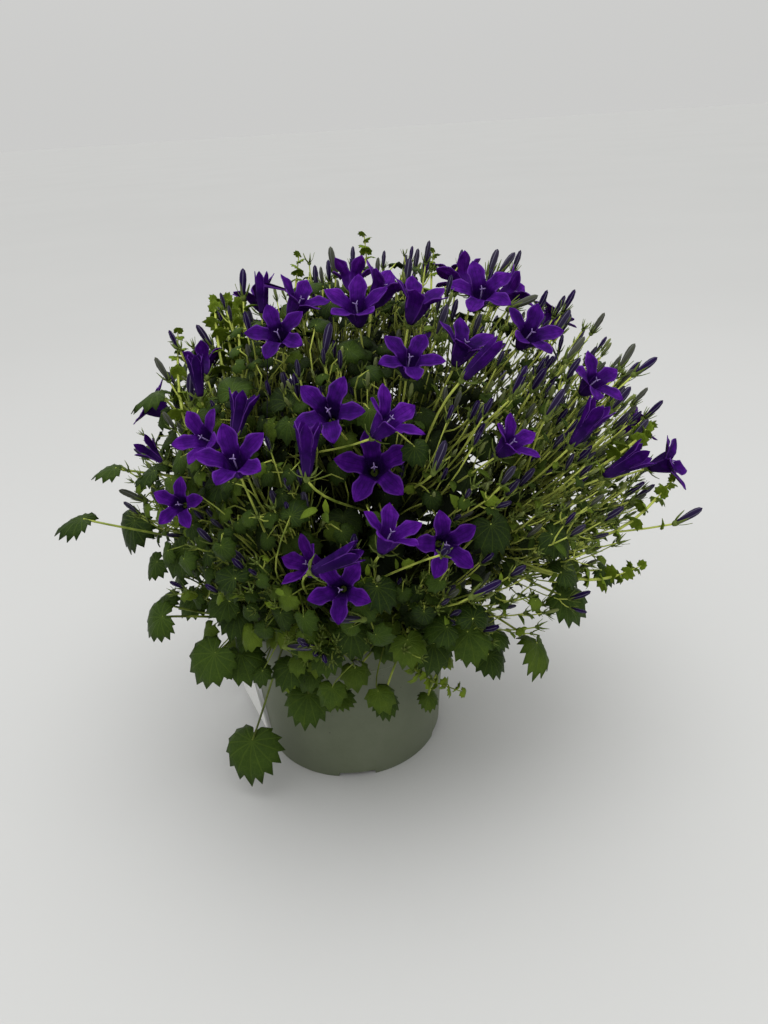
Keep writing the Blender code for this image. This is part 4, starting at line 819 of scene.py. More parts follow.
def ruleLeaf(k, draw):
    turn = growing["ruleFrom"] + (growing["ruleTo"] - growing["ruleFrom"]) * (k * goldenShare % 1)
    way = crownWay(0.80 - 1.15 * (k + 0.5) / growing["ruleLeaves"], turn)
    face = (way + Vector((0, 0, 0.6))).normalized()
    tip = hangSquare(way + Vector((draw.uniform(-0.5, 0.5), draw.uniform(-0.5, 0.5), -0.8)), face)
    place = onCrown(way, draw.uniform(0.80, 0.99))
    return dict(face=face, tip=tip, length=draw.uniform(*growing["ruleLengths"]), at=place, line=way)


def ruleBud(k, draw):
    way = crownWay(0.98 - 1.05 * (k + 0.5) / growing["ruleBuds"], k * goldenTurn + 2.1)
    axis = (way + Vector((0, 0, 0.7))).normalized()
    return dict(at=onCrown(way, draw.uniform(0.86, 1.0)), axis=axis, size=draw.uniform(0.8, 1.0), line=way)


def crownWay(height, turn):
    flat = math.sqrt(1 - height * height)
    return Vector((flat * math.cos(turn), flat * math.sin(turn), height))


def cardBalls():
    outward, along = cardAxes()
    balls = []
    columns, rows = cardForm["ballColumns"], cardForm["ballRows"]
    for j in range(rows):
        height = cardForm["foot"] + (cardForm["top"] + cardForm["over"] - cardForm["foot"]) * j / (rows - 1)
        inner = outward * (cardOut(height) + cardForm["thick"] / 2) + Vector((0, 0, height))
        for i in range(columns):
            distance = cardForm["near"] + (cardForm["far"] - cardForm["near"]) * i / (columns - 1)
            balls.append((inner + along * distance, cardForm["ball"]))
    tongue = along * (cardForm["near"] + cardForm["tongueWidth"] / 2) + Vector((0, 0, cardForm["top"]))
    reach = cardOut(cardForm["top"]) - cardForm["tongueIn"]
    for share in (0, 0.25, 0.5, 0.75):
        balls.append((outward * (cardForm["tongueIn"] + reach * share) + tongue, cardForm["tongueBall"]))
    return balls


def growPlant():
    crowd = Crowd()
    crowd.add(cardBalls(), growing["cardOwner"])
    blooms = placeBlooms(crowd)
    ways = fanDirections()
    draw = random.Random(growing["plantSeed"])
    stems = []
    for number, way in enumerate(ways):
        trunk = growTrunk(way)
        stems.append(dict(trunk=trunk, taken=[], leaves=[], buds=[], blooms=[]))
        crowd.add(stemBalls(trunk[1:], stemForm["trunkRadius"]), number)
    plant = dict(crowd=crowd, ways=ways, stems=stems, draw=draw)
    for bloom in blooms:
        holdBloom(plant, bloom)
    for mark in hangingLeaves:
        holdLeaf(plant, seenLeaf(mark, frontPoint(mark["at"], mark["front"])))
    for mark in seenLeaves:
        holdLeaf(plant, seenLeaf(mark, crownPoint(mark["at"], mark.get("deep", 0.002))))
    for mark in seenBuds:
        holdBud(plant, seenBud(mark))
    for k in range(growing["skirtLeaves"]):
        holdLeaf(plant, skirtLeaf(k, draw))
    for k in range(growing["floorLeaves"]):
        holdLeaf(plant, floorLeaf(k, draw))
    for k in range(growing["ruleLeaves"]):
        holdLeaf(plant, ruleLeaf(k, draw))
    for k in range(growing["ruleBuds"]):
        holdBud(plant, ruleBud(k, draw))
    return plant, blooms


# Small helpers that every piece uses

def stamp(target, pattern, place, tone):
    # Adds a copy of a pattern at a place; tone tells the copies apart in the material
    copy = pattern.copy()
    copy.transform(place)
    copy.attributes["tone"].data.foreach_set("value", np.full(len(copy.vertices), tone, np.float32))
    target.from_mesh(copy)
    bpy.data.meshes.remove(copy)


def keepPattern(name, shape):
    mesh = bpy.data.meshes.new(name)
    shape.to_mesh(mesh)
    shape.free()
    return mesh


def addObject(name, data):
    thing = bpy.data.objects.new(name, data)
    bpy.context.scene.collection.objects.link(thing)
    return thing


def finalMesh(thing):
    # The mesh that an object's curve or modifiers give; the object itself goes
    bpy.context.view_layer.update()
    mesh = bpy.data.meshes.new_from_object(thing.evaluated_get(bpy.context.evaluated_depsgraph_get()))
    bpy.data.objects.remove(thing)
    return mesh


def layPiece(name, mesh, surface, nodes):
    mesh.materials.clear()
    mesh.materials.append(surface)
    mesh.shade_smooth()
    piece = addObject(name, mesh)
    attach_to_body(piece, "root")
    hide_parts(*nodes)


def shapePiece(name, shape, surface, nodes):
    layPiece(name, keepPattern(name, shape), surface, nodes)


def placeAbout(at, axis, size, spin):
    # A pattern's own Z runs along the axis
    up = uprightTo(axis)
    side = up.cross(axis)
    turned = Matrix((side, up, axis)).transposed() @ Matrix.Rotation(spin, 3, "Z")
    return Matrix.Translation(at) @ turned.to_4x4() @ Matrix.Scale(size, 4)


def placeLeaf(at, tip, face, length):
    # A leaf pattern is one unit long: X across, Y to its tip, Z out of its face
    side = tip.cross(face)
    turned = Matrix((side, tip, face)).transposed()
    return Matrix.Translation(at) @ turned.to_4x4() @ Matrix.Scale(length, 4)


def patternShape():
    shape = bmesh.new()
    shape.verts.layers.float.new("tone")
    shape.loops.layers.uv.new("blade")
    return shape


def mapBlade(shape):
    # The leaf's own coordinates, for its veins
    blade = shape.loops.layers.uv["blade"]
    for face in shape.faces:
        for loop in face.loops:
            loop[blade].uv = (loop.vert.co.x, loop.vert.co.y)


def thicken(shape, thickness, weld):
    # Gives the grids in a shape their thickness, once their shared corners are welded
    bmesh.ops.remove_doubles(shape, verts=shape.verts, dist=weld)
    bmesh.ops.recalc_face_normals(shape, faces=shape.faces)
    bmesh.ops.solidify(shape, geom=shape.faces[:], thickness=thickness)
    bmesh.ops.recalc_face_normals(shape, faces=shape.faces)


def spinProfile(shape, profile, sides, weld):
    # A profile of (out, height) turned about Z
    ends = [shape.verts.new((out, 0, height)) for out, height in profile]
    edges = [shape.edges.new(pair) for pair in zip(ends, ends[1:])]
    bmesh.ops.spin(
        shape, geom=ends + edges, cent=(0, 0, 0), axis=(0, 0, 1), dvec=(0, 0, 0),
        angle=2 * math.pi, steps=sides, use_merge=True, use_duplicate=False,
    )
    bmesh.ops.remove_doubles(shape, verts=shape.verts, dist=weld)
    bmesh.ops.recalc_face_normals(shape, faces=shape.faces)


# Materials

class Paint:
    # Each method adds a node to a material's tree, and gives its output

    def __init__(self, tree):
        self.nodes, self.links = tree.nodes, tree.links

    def feed(self, socket, value):
        # A tuple is a colour
        if isinstance(value, bpy.types.NodeSocket):
            self.links.new(value, socket)
        else:
            socket.default_value = (*value, 1.0) if isinstance(value, tuple) else value

    def add(self, kind, inputs, output=0, **settings):
        node = self.nodes.new("ShaderNode" + kind)
        for name, value in settings.items():
            setattr(node, name, value)
        for name, value in inputs.items():
            self.feed(node.inputs[name], value)
        return node.outputs[output]

    def math(self, operation, *values):
        return self.add("Math", dict(enumerate(values)), operation=operation)

    def plus(self, first, second):
        return self.math("ADD", first, second)

    def minus(self, first, second):
        return self.math("SUBTRACT", first, second)

    def times(self, first, second):
        return self.math("MULTIPLY", first, second)

    def point(self):
        return self.add("TexCoord", {}, "Object")

    def split(self, point):
        return [self.add("SeparateXYZ", {0: point}, k) for k in range(3)]

    def attribute(self, name):
        return self.add("Attribute", {}, "Fac", attribute_name=name)

    def noise(self, scale, detail=3.0, rough=0.55):
        values = {"Vector": self.point(), "Scale": scale, "Detail": detail, "Roughness": rough}
        return self.add("TexNoise", values, "Fac")

    def fade(self, value, source, target=(0.0, 1.0), kind="LINEAR"):
        # Carries the range source over to the range target, and holds its ends
        values = {"Value": value, "From Min": source[0], "From Max": source[1]}
        values.update({"To Min": target[0], "To Max": target[1]})
        return self.add("MapRange", values, interpolation_type=kind)

    def mix(self, share, first, second):
        return self.add("Mix", {0: share, 6: first, 7: second}, 2, data_type="RGBA")

    def ramp(self, value, finish, *names):
        # The finish's colours of these names, at its stops
        ramp = self.nodes.new("ShaderNodeValToRGB")
        ends = ramp.color_ramp.elements
        while len(ends) < len(names):
            ends.new(0.5)
        for end, position, name in zip(ends, finish["stops"], names):
            end.position = position
            end.color = (*finish[name], 1.0)
        self.feed(ramp.inputs["Fac"], value)
        return ramp.outputs["Color"]

    def coat(self, colour, relief=None, bump=None):
        # The surface's colour, and its relief with the strength and distance of its bump
        shader = self.nodes["Principled BSDF"]
        self.feed(shader.inputs["Base Color"], colour)
        if relief:
            values = {"Height": relief, "Strength": bump[0], "Distance": bump[1]}
            self.feed(shader.inputs["Normal"], self.add("Bump", values, "Normal"))


def startMaterial(name, finish):
    surface = bpy.data.materials.new(name)
    surface.use_nodes = True
    paint = Paint(surface.node_tree)
    shader = paint.nodes["Principled BSDF"]
    shader.inputs["Roughness"].default_value = finish["roughness"]
    shader.inputs["Specular IOR Level"].default_value = finish["specular"]
    return surface, paint


def shadeInside(paint, colour, shade):
    # Painted shade: darkens a colour towards the middle of the crown, where the crown's own growth would
    # shade it
    away = paint.add("VectorMath", {0: paint.point(), 1: crownForm["centre"]}, operation="SUBTRACT")
    share = paint.add("VectorMath", {0: away, 1: crownForm["radii"]}, operation="DIVIDE")
    far = paint.add("VectorMath", {0: share}, "Value", operation="LENGTH")
    depth = paint.fade(far, (shade["from"], shade["to"]), (shade["least"], 1.0), "SMOOTHSTEP")
    return paint.mix(depth, (0.0, 0.0, 0.0), colour)


leafFinish = {
    "deep": (0.010, 0.023, 0.003),
    "middle": (0.033, 0.063, 0.006),
    "bright": (0.140, 0.205, 0.014),
    "stops": (0.15, 0.55, 1.0),
    "vein": (0.120, 0.185, 0.020),
    "veinShare": 0.19,
    "veinStep": 27.0,  # degrees between the main veins
    "mainVein": (0.006, 0.030),  # where a main vein begins to fade and ends, of the leaf's length
    "net": 8.0,  # cells of the net of fine veins along a leaf
    "netVein": (0.0, 0.10),
    "netShare": 0.45,
    "patches": 160.0,
    "patchShare": 0.30,
    "grain": 1400.0,
    "grainShare": 0.4,
    "bump": (0.5, 0.0004),
    "roughness": 0.52,
    "specular": 0.10,
    # painted shade: leaves are darkened towards the middle of the crown
    "shade": {"from": 0.55, "to": 1.0, "least": 0.10},
}


def leafMaterial():
    surface, paint = startMaterial("leafGreen", leafFinish)
    blade = paint.add("UVMap", {}, "UV", uv_map="blade")
    x, y, _ = paint.split(blade)
    half = math.radians(leafFinish["veinStep"]) / 2
    around = paint.plus(paint.math("ARCTAN2", x, y), half)
    far = paint.math("SQRT", paint.plus(paint.times(x, x), paint.times(y, y)))
    apart = paint.times(paint.minus(half, paint.math("PINGPONG", around, half)), far)
    mains = paint.fade(apart, leafFinish["mainVein"], (1.0, 0.0), "SMOOTHSTEP")
    cells = {"Vector": blade, "Scale": leafFinish["net"]}
    edges = paint.add("TexVoronoi", cells, "Distance", feature="DISTANCE_TO_EDGE")
    net = paint.fade(edges, leafFinish["netVein"], (leafFinish["netShare"], 0.0))
    veins = paint.math("MAXIMUM", mains, net)
    patches = paint.times(paint.noise(leafFinish["patches"]), leafFinish["patchShare"])
    green = paint.ramp(paint.plus(paint.attribute("tone"), patches), leafFinish, "deep", "middle", "bright")
    colour = paint.mix(paint.times(veins, leafFinish["veinShare"]), green, leafFinish["vein"])
    grain = paint.times(paint.noise(leafFinish["grain"], 2.0), leafFinish["grainShare"])
    # painted shade deep inside the crown
    colour = shadeInside(paint, colour, leafFinish["shade"])
    paint.coat(colour, paint.minus(grain, veins), leafFinish["bump"])
    return surface


petalFinish = {
    "deep": (0.012, 0.0009, 0.046),
    "middle": (0.042, 0.0024, 0.136),
    "pale": (0.104, 0.0100, 0.275),
    "stops": (0.25, 0.60, 0.95),
    "toneShare": 0.5,
    "patches": 260.0,
    "evenAt": 0.75,  # bells are darker than this part of the petals, and tips paler
    "outward": 0.45,
    "mainWaves": 2,  # lengthwise veins over half a petal, and finer ones between them
    "mainPower": 8.0,
    "fineWaves": 7,
    "fineShare": 0.35,
    "veinShare": 0.45,
    # painted highlight along the edges of the petals
    "edgeHighlight": (0.180, 0.052, 0.395),
    "edgeHighlightFrom": 0.78,
    "edgeHighlightShare": 0.45,
    "throat": (0.150, 0.060, 0.360),
    "throatEnds": (0.05, 0.45),
    "throatShare": 0.10,
    "style": (0.260, 0.180, 0.400),
    "styleAlong": 2.0,
    "grain": 1800.0,
    "grainShare": 0.6,
    "bump": (0.35, 0.0003),
    "roughness": 0.62,
    "specular": 0.04,
}


def petalMaterial():
    surface, paint = startMaterial("petalViolet", petalFinish)
    along = paint.attribute("along")  # 0 at the foot of the bell, 1 at a petal's tip, 2 on the style
    across = paint.attribute("across")  # -1 to 1 over a petal
    tone = paint.times(paint.attribute("tone"), petalFinish["toneShare"])
    outward = paint.times(paint.minus(along, petalFinish["evenAt"]), petalFinish["outward"])
    share = paint.plus(paint.plus(tone, paint.noise(petalFinish["patches"])), outward)
    colour = paint.ramp(share, petalFinish, "deep", "middle", "pale")
    main = paint.math("COSINE", paint.times(across, 2 * math.pi * petalFinish["mainWaves"]))
    fine = paint.math("COSINE", paint.times(across, 2 * math.pi * petalFinish["fineWaves"]))
    main = paint.math("POWER", paint.math("MAXIMUM", main, 0.0), petalFinish["mainPower"])
    fine = paint.times(paint.math("MAXIMUM", fine, 0.0), petalFinish["fineShare"])
    lines = paint.plus(main, fine)
    colour = paint.mix(paint.times(lines, petalFinish["veinShare"]), colour, petalFinish["deep"])
    # painted highlight: petals are paler along their edges
    edge = paint.math("ABSOLUTE", across)
    edgeHighlight = paint.fade(edge, (petalFinish["edgeHighlightFrom"], 1.0), (0.0, petalFinish["edgeHighlightShare"]), "SMOOTHSTEP")
    colour = paint.mix(edgeHighlight, colour, petalFinish["edgeHighlight"])
    throat = paint.fade(along, petalFinish["throatEnds"], (petalFinish["throatShare"], 0.0), "SMOOTHSTEP")
    colour = paint.mix(throat, colour, petalFinish["throat"])
    onStyle = paint.math("GREATER_THAN", along, (1.0 + petalFinish["styleAlong"]) / 2)
    grain = paint.times(paint.noise(petalFinish["grain"], 2.0), petalFinish["grainShare"])
    colour = paint.mix(onStyle, colour, petalFinish["style"])
    paint.coat(colour, paint.plus(lines, grain), petalFinish["bump"])
    return surface


stemFinish = {
    "low": (0.070, 0.090, 0.018),
    "green": (0.165, 0.220, 0.030),
    "light": (0.450, 0.510, 0.095),
    "stops": (0.20, 0.42, 0.80),
    "rise": (0.08, 0.25),  # heights in metres: stems are browner near the soil, and lighter at their tips
    "riseShare": 0.5,
    # painted light: stems are painted lighter towards the right, where the light falls on the crown
    "aside": (0.0, 0.12),  # metres to the right, where they are lighter
    "paintedLightShare": 0.46,
    "patches": 75.0,
    "patchMiddle": 0.30,
    "patchShare": 1.5,
    "grain": 1200.0,
    "bump": (0.3, 0.0002),
    "roughness": 0.45,
    "specular": 0.15,
    # painted shade: stems are darkened towards the middle of the crown
    "shade": {"from": 0.45, "to": 1.0, "least": 0.14},
}


def stemMaterial():
    surface, paint = startMaterial("stemGreen", stemFinish)
    x, _, z = paint.split(paint.point())
    rise = paint.times(paint.fade(z, stemFinish["rise"]), stemFinish["riseShare"])
    # painted light: lighter towards the right side of the crown
    aside = paint.fade(x, stemFinish["aside"], (0.0, stemFinish["paintedLightShare"]))
    patches = paint.minus(paint.noise(stemFinish["patches"]), stemFinish["patchMiddle"])
    share = paint.plus(paint.plus(rise, aside), paint.times(patches, stemFinish["patchShare"]))
    colour = paint.ramp(share, stemFinish, "low", "green", "light")
    grain = paint.noise(stemFinish["grain"], 2.0)
    # painted shade deep inside the crown, on the stems
    paint.coat(shadeInside(paint, colour, stemFinish["shade"]), grain, stemFinish["bump"])
    return surface


budFinish = {
    "hollow": (0.009, 0.004, 0.030),
    "violet": (0.032, 0.009, 0.095),
    "violetShare": 0.40,
    "ridge": (0.250, 0.235, 0.330),
    "ridgePower": 8.0,
    "ridgeShare": 0.95,
    "young": (0.200, 0.240, 0.070),
    "sepal": (0.085, 0.125, 0.020),
    "youngSepal": 0.6,
    "calyxTone": 1.5,
    "calyxFrom": 1.2,
    "patches": 300.0,
    "grain": 1500.0,
    "bump": (0.3, 0.0002),
    "roughness": 0.6,
    "specular": 0.05,
}


def budMaterial():
    # tone: 0 to 1 on a bud, from young green to ripe violet, and above 1 on its calyx
    surface, paint = startMaterial("budViolet", budFinish)
    tone = paint.attribute("tone")
    ridge = paint.math("POWER", paint.attribute("ridge"), budFinish["ridgePower"])
    patches = paint.noise(budFinish["patches"])
    ripe = paint.mix(paint.times(ridge, budFinish["ridgeShare"]), budFinish["hollow"], budFinish["ridge"])
    ripe = paint.mix(paint.times(patches, budFinish["violetShare"]), ripe, budFinish["violet"])
    body = paint.mix(tone, budFinish["young"], ripe)
    sepal = paint.mix(paint.times(patches, budFinish["youngSepal"]), budFinish["sepal"], budFinish["young"])
    colour = paint.mix(paint.math("GREATER_THAN", tone, budFinish["calyxFrom"]), body, sepal)
    paint.coat(colour, paint.noise(budFinish["grain"], 2.0), budFinish["bump"])
    return surface


# Patterns, each made once and stamped many times

def anyTurn(draw):
    return draw.uniform(0, 6.28)


leafLook = {
    "spread": 172.0,  # degrees to each side of the tip that the edge runs
    "notch": 0.82,
    "hook": 0.30,  # how far a tooth points towards the tip, as a share of its spacing
    "pucker": 0.028,
    "valley": -0.6,  # of the pucker, between two teeth
    "wave": 0.10,
    "waves": 3,
    "twist": 0.25,
    "sag": (0.7, 1.5),
    "lean": 0.08,
    "thick": 0.024,
    "bractThick": 0.05,
    "bractSteps": 5,
    "weld": 0.0005,
}


def leafPattern(name, teeth, rings, draw):
    # A toothed heart-shaped blade: a grid rolled round the stalk's end, puckered between its veins
    shape = patternShape()
    spokes = 2 * teeth
    bmesh.ops.create_grid(shape, x_segments=spokes, y_segments=len(rings), size=1.0)
    twist, sag = draw.uniform(-leafLook["twist"], leafLook["twist"]), draw.uniform(*leafLook["sag"])
    phase, lean = anyTurn(draw), draw.uniform(-leafLook["lean"], leafLook["lean"])
    shares = (0.0, *rings)
    for vert in shape.verts:
        i = round((vert.co.x + 1) / 2 * spokes)
        j = round((vert.co.y + 1) / 2 * len(rings))
        side = (2 * i / spokes - 1) * leafLook["spread"]
        reach = bladeReach(abs(side)) * shares[j]
        if i % 2 == 0:
            reach *= 1 - (1 - leafLook["notch"]) * shares[j] ** 4
        elif abs(side) > 1:
            side -= math.copysign(leafLook["hook"] * shares[j] ** 4 * leafLook["spread"] / teeth, side)
        angle = math.radians(side) + lean * shares[j]
        x, y = reach * math.sin(angle), reach * math.cos(angle)
        z = bladeHeight(x, y * math.sqrt(sag), 1.0) + twist * x * y
        z += leafLook["pucker"] * shares[j] * (1 if i % 2 == 0 else leafLook["valley"])
        z += leafLook["wave"] * shares[j] ** 2 * math.sin(leafLook["waves"] * angle + phase)
        vert.co = (x, y, z)
    thicken(shape, leafLook["thick"], leafLook["weld"])
    mapBlade(shape)
    return keepPattern(name, shape)


leafSorts = {
    # how many, their teeth in turn, and where their rings run
    "leaves": (6, (13, 15), (0.40, 0.74, 1.0)),
    "fineLeaves": (6, (9,), (0.55, 1.0)),
    "nodeLeaves": (5, (6,), (0.60, 1.0)),
    "innerLeaves": (3, (6,), (1.0,)),
}


def leafPatterns(sort, draw):
    count, teeth, rings = leafSorts[sort]
    return [leafPattern("%s%d" % (sort, k), teeth[k % len(teeth)], rings, draw) for k in range(count)]


def bractPattern(name, width, teeth):
    # A small narrow leaf that sits on a stem
    shape = patternShape()
    steps = leafLook["bractSteps"]
    bmesh.ops.create_grid(shape, x_segments=2, y_segments=steps, size=1.0)
    for vert in shape.verts:
        share = (vert.co.y + 1) / 2
        half = width * math.sin(math.pi * min(1.0, 0.12 + 0.88 * share)) ** 0.8
        half *= 1 + (teeth if round(share * steps) % 2 else -teeth)
        x = vert.co.x * half
        vert.co = (x, share, 0.35 * abs(x) - 0.25 * share * share)
    thicken(shape, leafLook["bractThick"], leafLook["weld"])
    mapBlade(shape)
    return keepPattern(name, shape)


budLook = {
    "profile": (
        (0.0, 0.0), (0.45, 0.02), (0.66, 0.14), (0.88, 0.38),
        (1.0, 0.60), (0.93, 0.78), (0.62, 0.92), (0.0, 1.0),
    ),
    "fineProfile": ((0.0, 0.0), (0.50, 0.03), (0.90, 0.40), (1.0, 0.66), (0.62, 0.91), (0.0, 1.0)),
    "slim": 0.68,  # a furled bud is slimmer and shorter than the solid that stands for it
    "fineSlim": 0.95,
    "short": 0.86,
    "swell": 1.05,
    "ridge": 0.16,
    "twist": 0.5,
    "ripe": (0.72, 0.92, 0.95, 0.97, 1.0, 1.0),
    "young": (0.0, 0.45),
    "youngSize": 0.55,
    "lift": 0.0006,  # metres from the calyx
    "bareSize": (0.35, 0.5),  # of a bare calyx: least, and what a bud's size adds
}


def spunPattern(shape, profile, sides, radius, length):
    # A profile of (share of radius, share of length) turned about Z
    spinProfile(shape, [(wide * radius, high * length) for wide, high in profile], sides, radius * 0.001)


def budPattern(name, profile, slim):
    # A slim furled bud with five pale ridges
    shape = patternShape()
    ridge = shape.verts.layers.float.new("ridge")
    length = budForm["length"] * budLook["short"]
    spunPattern(shape, profile, 2 * bloomForm["bloomPetals"], budForm["radius"] * slim, length)
    for vert in shape.verts:
        out = math.hypot(vert.co.x, vert.co.y)
        if out < 0.0001:
            continue
        turn = math.atan2(vert.co.y, vert.co.x) / math.pi * bloomForm["bloomPetals"]
        high = round(turn) % 2 == 0
        vert[ridge] = 1.0 if high else 0.0
        swell = budLook["swell"] - (0.0 if high else budLook["ridge"])
        twist = vert.co.z / length * budLook["twist"]
        vert.co = Matrix.Rotation(twist, 3, "Z") @ Vector((vert.co.x * swell, vert.co.y * swell, vert.co.z))
    return keepPattern(name, shape)


calyxLook = {
    "ovary": ((0.0, -0.6), (0.45, -0.55), (0.85, 0.0), (1.0, 0.55), (0.8, 1.0), (0.0, 1.0)),
    "fineOvary": ((0.0, -0.5), (0.75, -0.1), (1.0, 0.5), (0.0, 1.0)),
    "ovaryRadius": 0.0015,
    "ovaryLength": 0.0018,
    "sepalWidth": 0.00085,
    "sepalThick": 0.00028,
    "sepalFrom": (0.0009, 0.0010),  # out and up, where a sepal starts
    "full": (10, 0.0040, 0.0062, 0.0004, 4),  # sides, then a sepal's reach, rise, droop and steps
    "fine": (6, 0.0040, 0.0058, 0.0004, 2),
    "bloom": (10, 0.0066, 0.0034, 0.0006, 4),
}


def calyxPattern(name, ovary, sides, reach, rise, droop, along):
    # A cup with five narrow curved sepals
    shape = patternShape()
    shape.verts.layers.float.new("ridge")
    spunPattern(shape, ovary, sides, calyxLook["ovaryRadius"], calyxLook["ovaryLength"])
    foot, start = calyxLook["sepalFrom"]
    for k in range(bloomForm["bloomPetals"]):
        sepal = bmesh.ops.create_grid(shape, x_segments=1, y_segments=along, size=1.0)["verts"]
        for vert in sepal:
            share = (vert.co.y + 1) / 2
            half = calyxLook["sepalWidth"] * (1 - share) ** 0.7 * (0.75 + 0.6 * share)
            x = vert.co.x * half
            out = foot + (reach - foot) * share
            vert.co = (out, x, start + rise * share ** 1.4 - droop * math.sin(math.pi * share))
        bmesh.ops.remove_doubles(shape, verts=sepal, dist=0.00002)
        sepal = [vert for vert in sepal if vert.is_valid]
        faces = {face for vert in sepal for face in vert.link_faces}
        bmesh.ops.recalc_face_normals(shape, faces=list(faces))
        made = bmesh.ops.solidify(shape, geom=list(faces), thickness=calyxLook["sepalThick"])["geom"]
        whole = set(sepal) | {item for item in made if isinstance(item, bmesh.types.BMVert)}
        turned = Matrix.Rotation(2 * math.pi * k / bloomForm["bloomPetals"], 3, "Z")
        bmesh.ops.rotate(shape, verts=list(whole), cent=(0, 0, 0), matrix=turned)
    bmesh.ops.recalc_face_normals(shape, faces=shape.faces)
    return keepPattern(name, shape)


styleLook = {
    "radius": 0.00034,
    "narrow": 0.85,
    "foot": -0.0095,
    "top": 0.0012,
    "sides": 7,
    "lobes": 3,
    "lobe": 0.0017,
    "lobeTip": 0.4,
    "lobeSides": 6,
    "lean": 55,
}


def addRod(shape, sides, narrow, length, place):
    bmesh.ops.create_cone(
        shape, cap_ends=True, cap_tris=False, segments=sides, radius1=styleLook["radius"],
        radius2=styleLook["radius"] * narrow, depth=length, matrix=place,
    )


def addStyle(shape, along, bloom, throat):
    # The pale rod in a bloom's throat, ending in spread lobes
    before = set(shape.verts)
    tall = styleLook["top"] - styleLook["foot"]
    middle = Matrix.Translation((0, 0, (styleLook["top"] + styleLook["foot"]) / 2))
    addRod(shape, styleLook["sides"], styleLook["narrow"], tall, middle)
    for k in range(styleLook["lobes"]):
        bent = Matrix.Rotation(2 * math.pi * k / styleLook["lobes"], 4, "Z")
        bent = bent @ Matrix.Translation((0, 0, styleLook["top"]))
        bent = bent @ Matrix.Rotation(math.radians(styleLook["lean"]), 4, "Y")
        bent = bent @ Matrix.Translation((0, 0, styleLook["lobe"] / 2))
        addRod(shape, styleLook["lobeSides"], styleLook["lobeTip"], styleLook["lobe"], bent)
    fresh = [vert for vert in shape.verts if vert not in before]
    for vert in fresh:
        vert[along] = petalFinish["styleAlong"]
    place = placeAbout(throat, bloom["axis"], bloom["size"], bloom["spin"])
    bmesh.ops.transform(shape, matrix=place, verts=fresh)


bloomLook = {
    "across": 8,
    "along": 15,
    "funnelShare": 0.40,  # share of the strip that makes the bell
    "thick": 0.00036,
    "crease": 0.00045,
    "ruffle": 0.0005,
    "bell": 0.78,
    "size": 0.88,  # of the solid that stands for it
    "narrow": 0.18,  # how much a petal narrows just past its root
    "narrowTo": 0.42,
    "slim": 0.03,
    "groove": 0.05,  # between two petals, down the bell
    "creaseWidth": 0.18,
    "ruffles": (7, 2.5),  # along and across
    "weld": 0.00003,
    "shades": (0.0, 0.5),
    "bellShade": 0.5,
    "seed": 3,
}


def petalStripPoint(bloom, k, across, v, phase):
    # A point of the bell and petal k in the bloom's own axes, from its throat
    size = bloom["size"] * bloomLook["size"]
    ends = bloomLook["funnelShare"]
    if v <= ends:
        t = v / ends
        x, y, z = petalPlace(0.0, across, bloom["opened"], k, bloom["spin"], size)
        base = bloomForm["funnelBase"] * size
        reach = base + (math.hypot(x, y) - base) * t ** bloomLook["bell"]
        reach *= 1 - bloomLook["groove"] * math.sin(math.pi * t) * math.cos(math.pi * across)
        bearing = math.atan2(y, x)
        height = z * t - bloomForm["funnel"] * size * (1 - t)
        return Vector((reach * math.cos(bearing), reach * math.sin(bearing), height))
    share = (v - ends) / (1 - ends)
    ease = min(1.0, share / bloomLook["narrowTo"])
    across *= 1 - bloomLook["narrow"] * math.sin(math.pi * ease) - bloomLook["slim"] * ease
    place = Vector(petalPlace(share, across, bloom["opened"], k, bloom["spin"], size))
    crease = -bloomLook["crease"] * math.exp(-(across / bloomLook["creaseWidth"]) ** 2)
    crease *= math.sin(math.pi * min(1.0, share + 0.1))
    far, aside = bloomLook["ruffles"]
    ruffle = bloomLook["ruffle"] * across * across * math.sin(far * share + phase + aside * across)
    ruffle *= math.sin(math.pi * share)
    place.z += size * (crease + ruffle)
    return place


def bloomShape(bloom, draw):
    shape = bmesh.new()
    tone = shape.verts.layers.float.new("tone")
    along = shape.verts.layers.float.new("along")
    across = shape.verts.layers.float.new("across")
    throat = bloom["base"] + bloom["axis"] * bloomForm["funnel"] * bloom["size"] * bloomLook["size"]
    for k in range(bloomForm["bloomPetals"]):
        phase = anyTurn(draw)
        strip = bmesh.ops.create_grid(
            shape, x_segments=bloomLook["across"], y_segments=bloomLook["along"], size=1.0,
        )
        for vert in strip["verts"]:
            u, v = vert.co.x, (vert.co.y + 1) / 2
            vert[across], vert[along] = u, v
            vert.co = throat + outOf(bloom["axis"], petalStripPoint(bloom, k, u, v, phase))
    thicken(shape, bloomLook["thick"], bloomLook["weld"])
    addStyle(shape, along, bloom, throat)
    shade = draw.uniform(*bloomLook["shades"])
    # half-open bells are painted darker: partly their deeper colour, partly painted shade in their cups
    if bloom["opened"] < bloomForm["halfOpen"]:
        shade -= bloomLook["bellShade"]
    for vert in shape.verts:
        vert[tone] = shade
    return shape


# Extra growth, kept clear of the blooms, the pot and the card

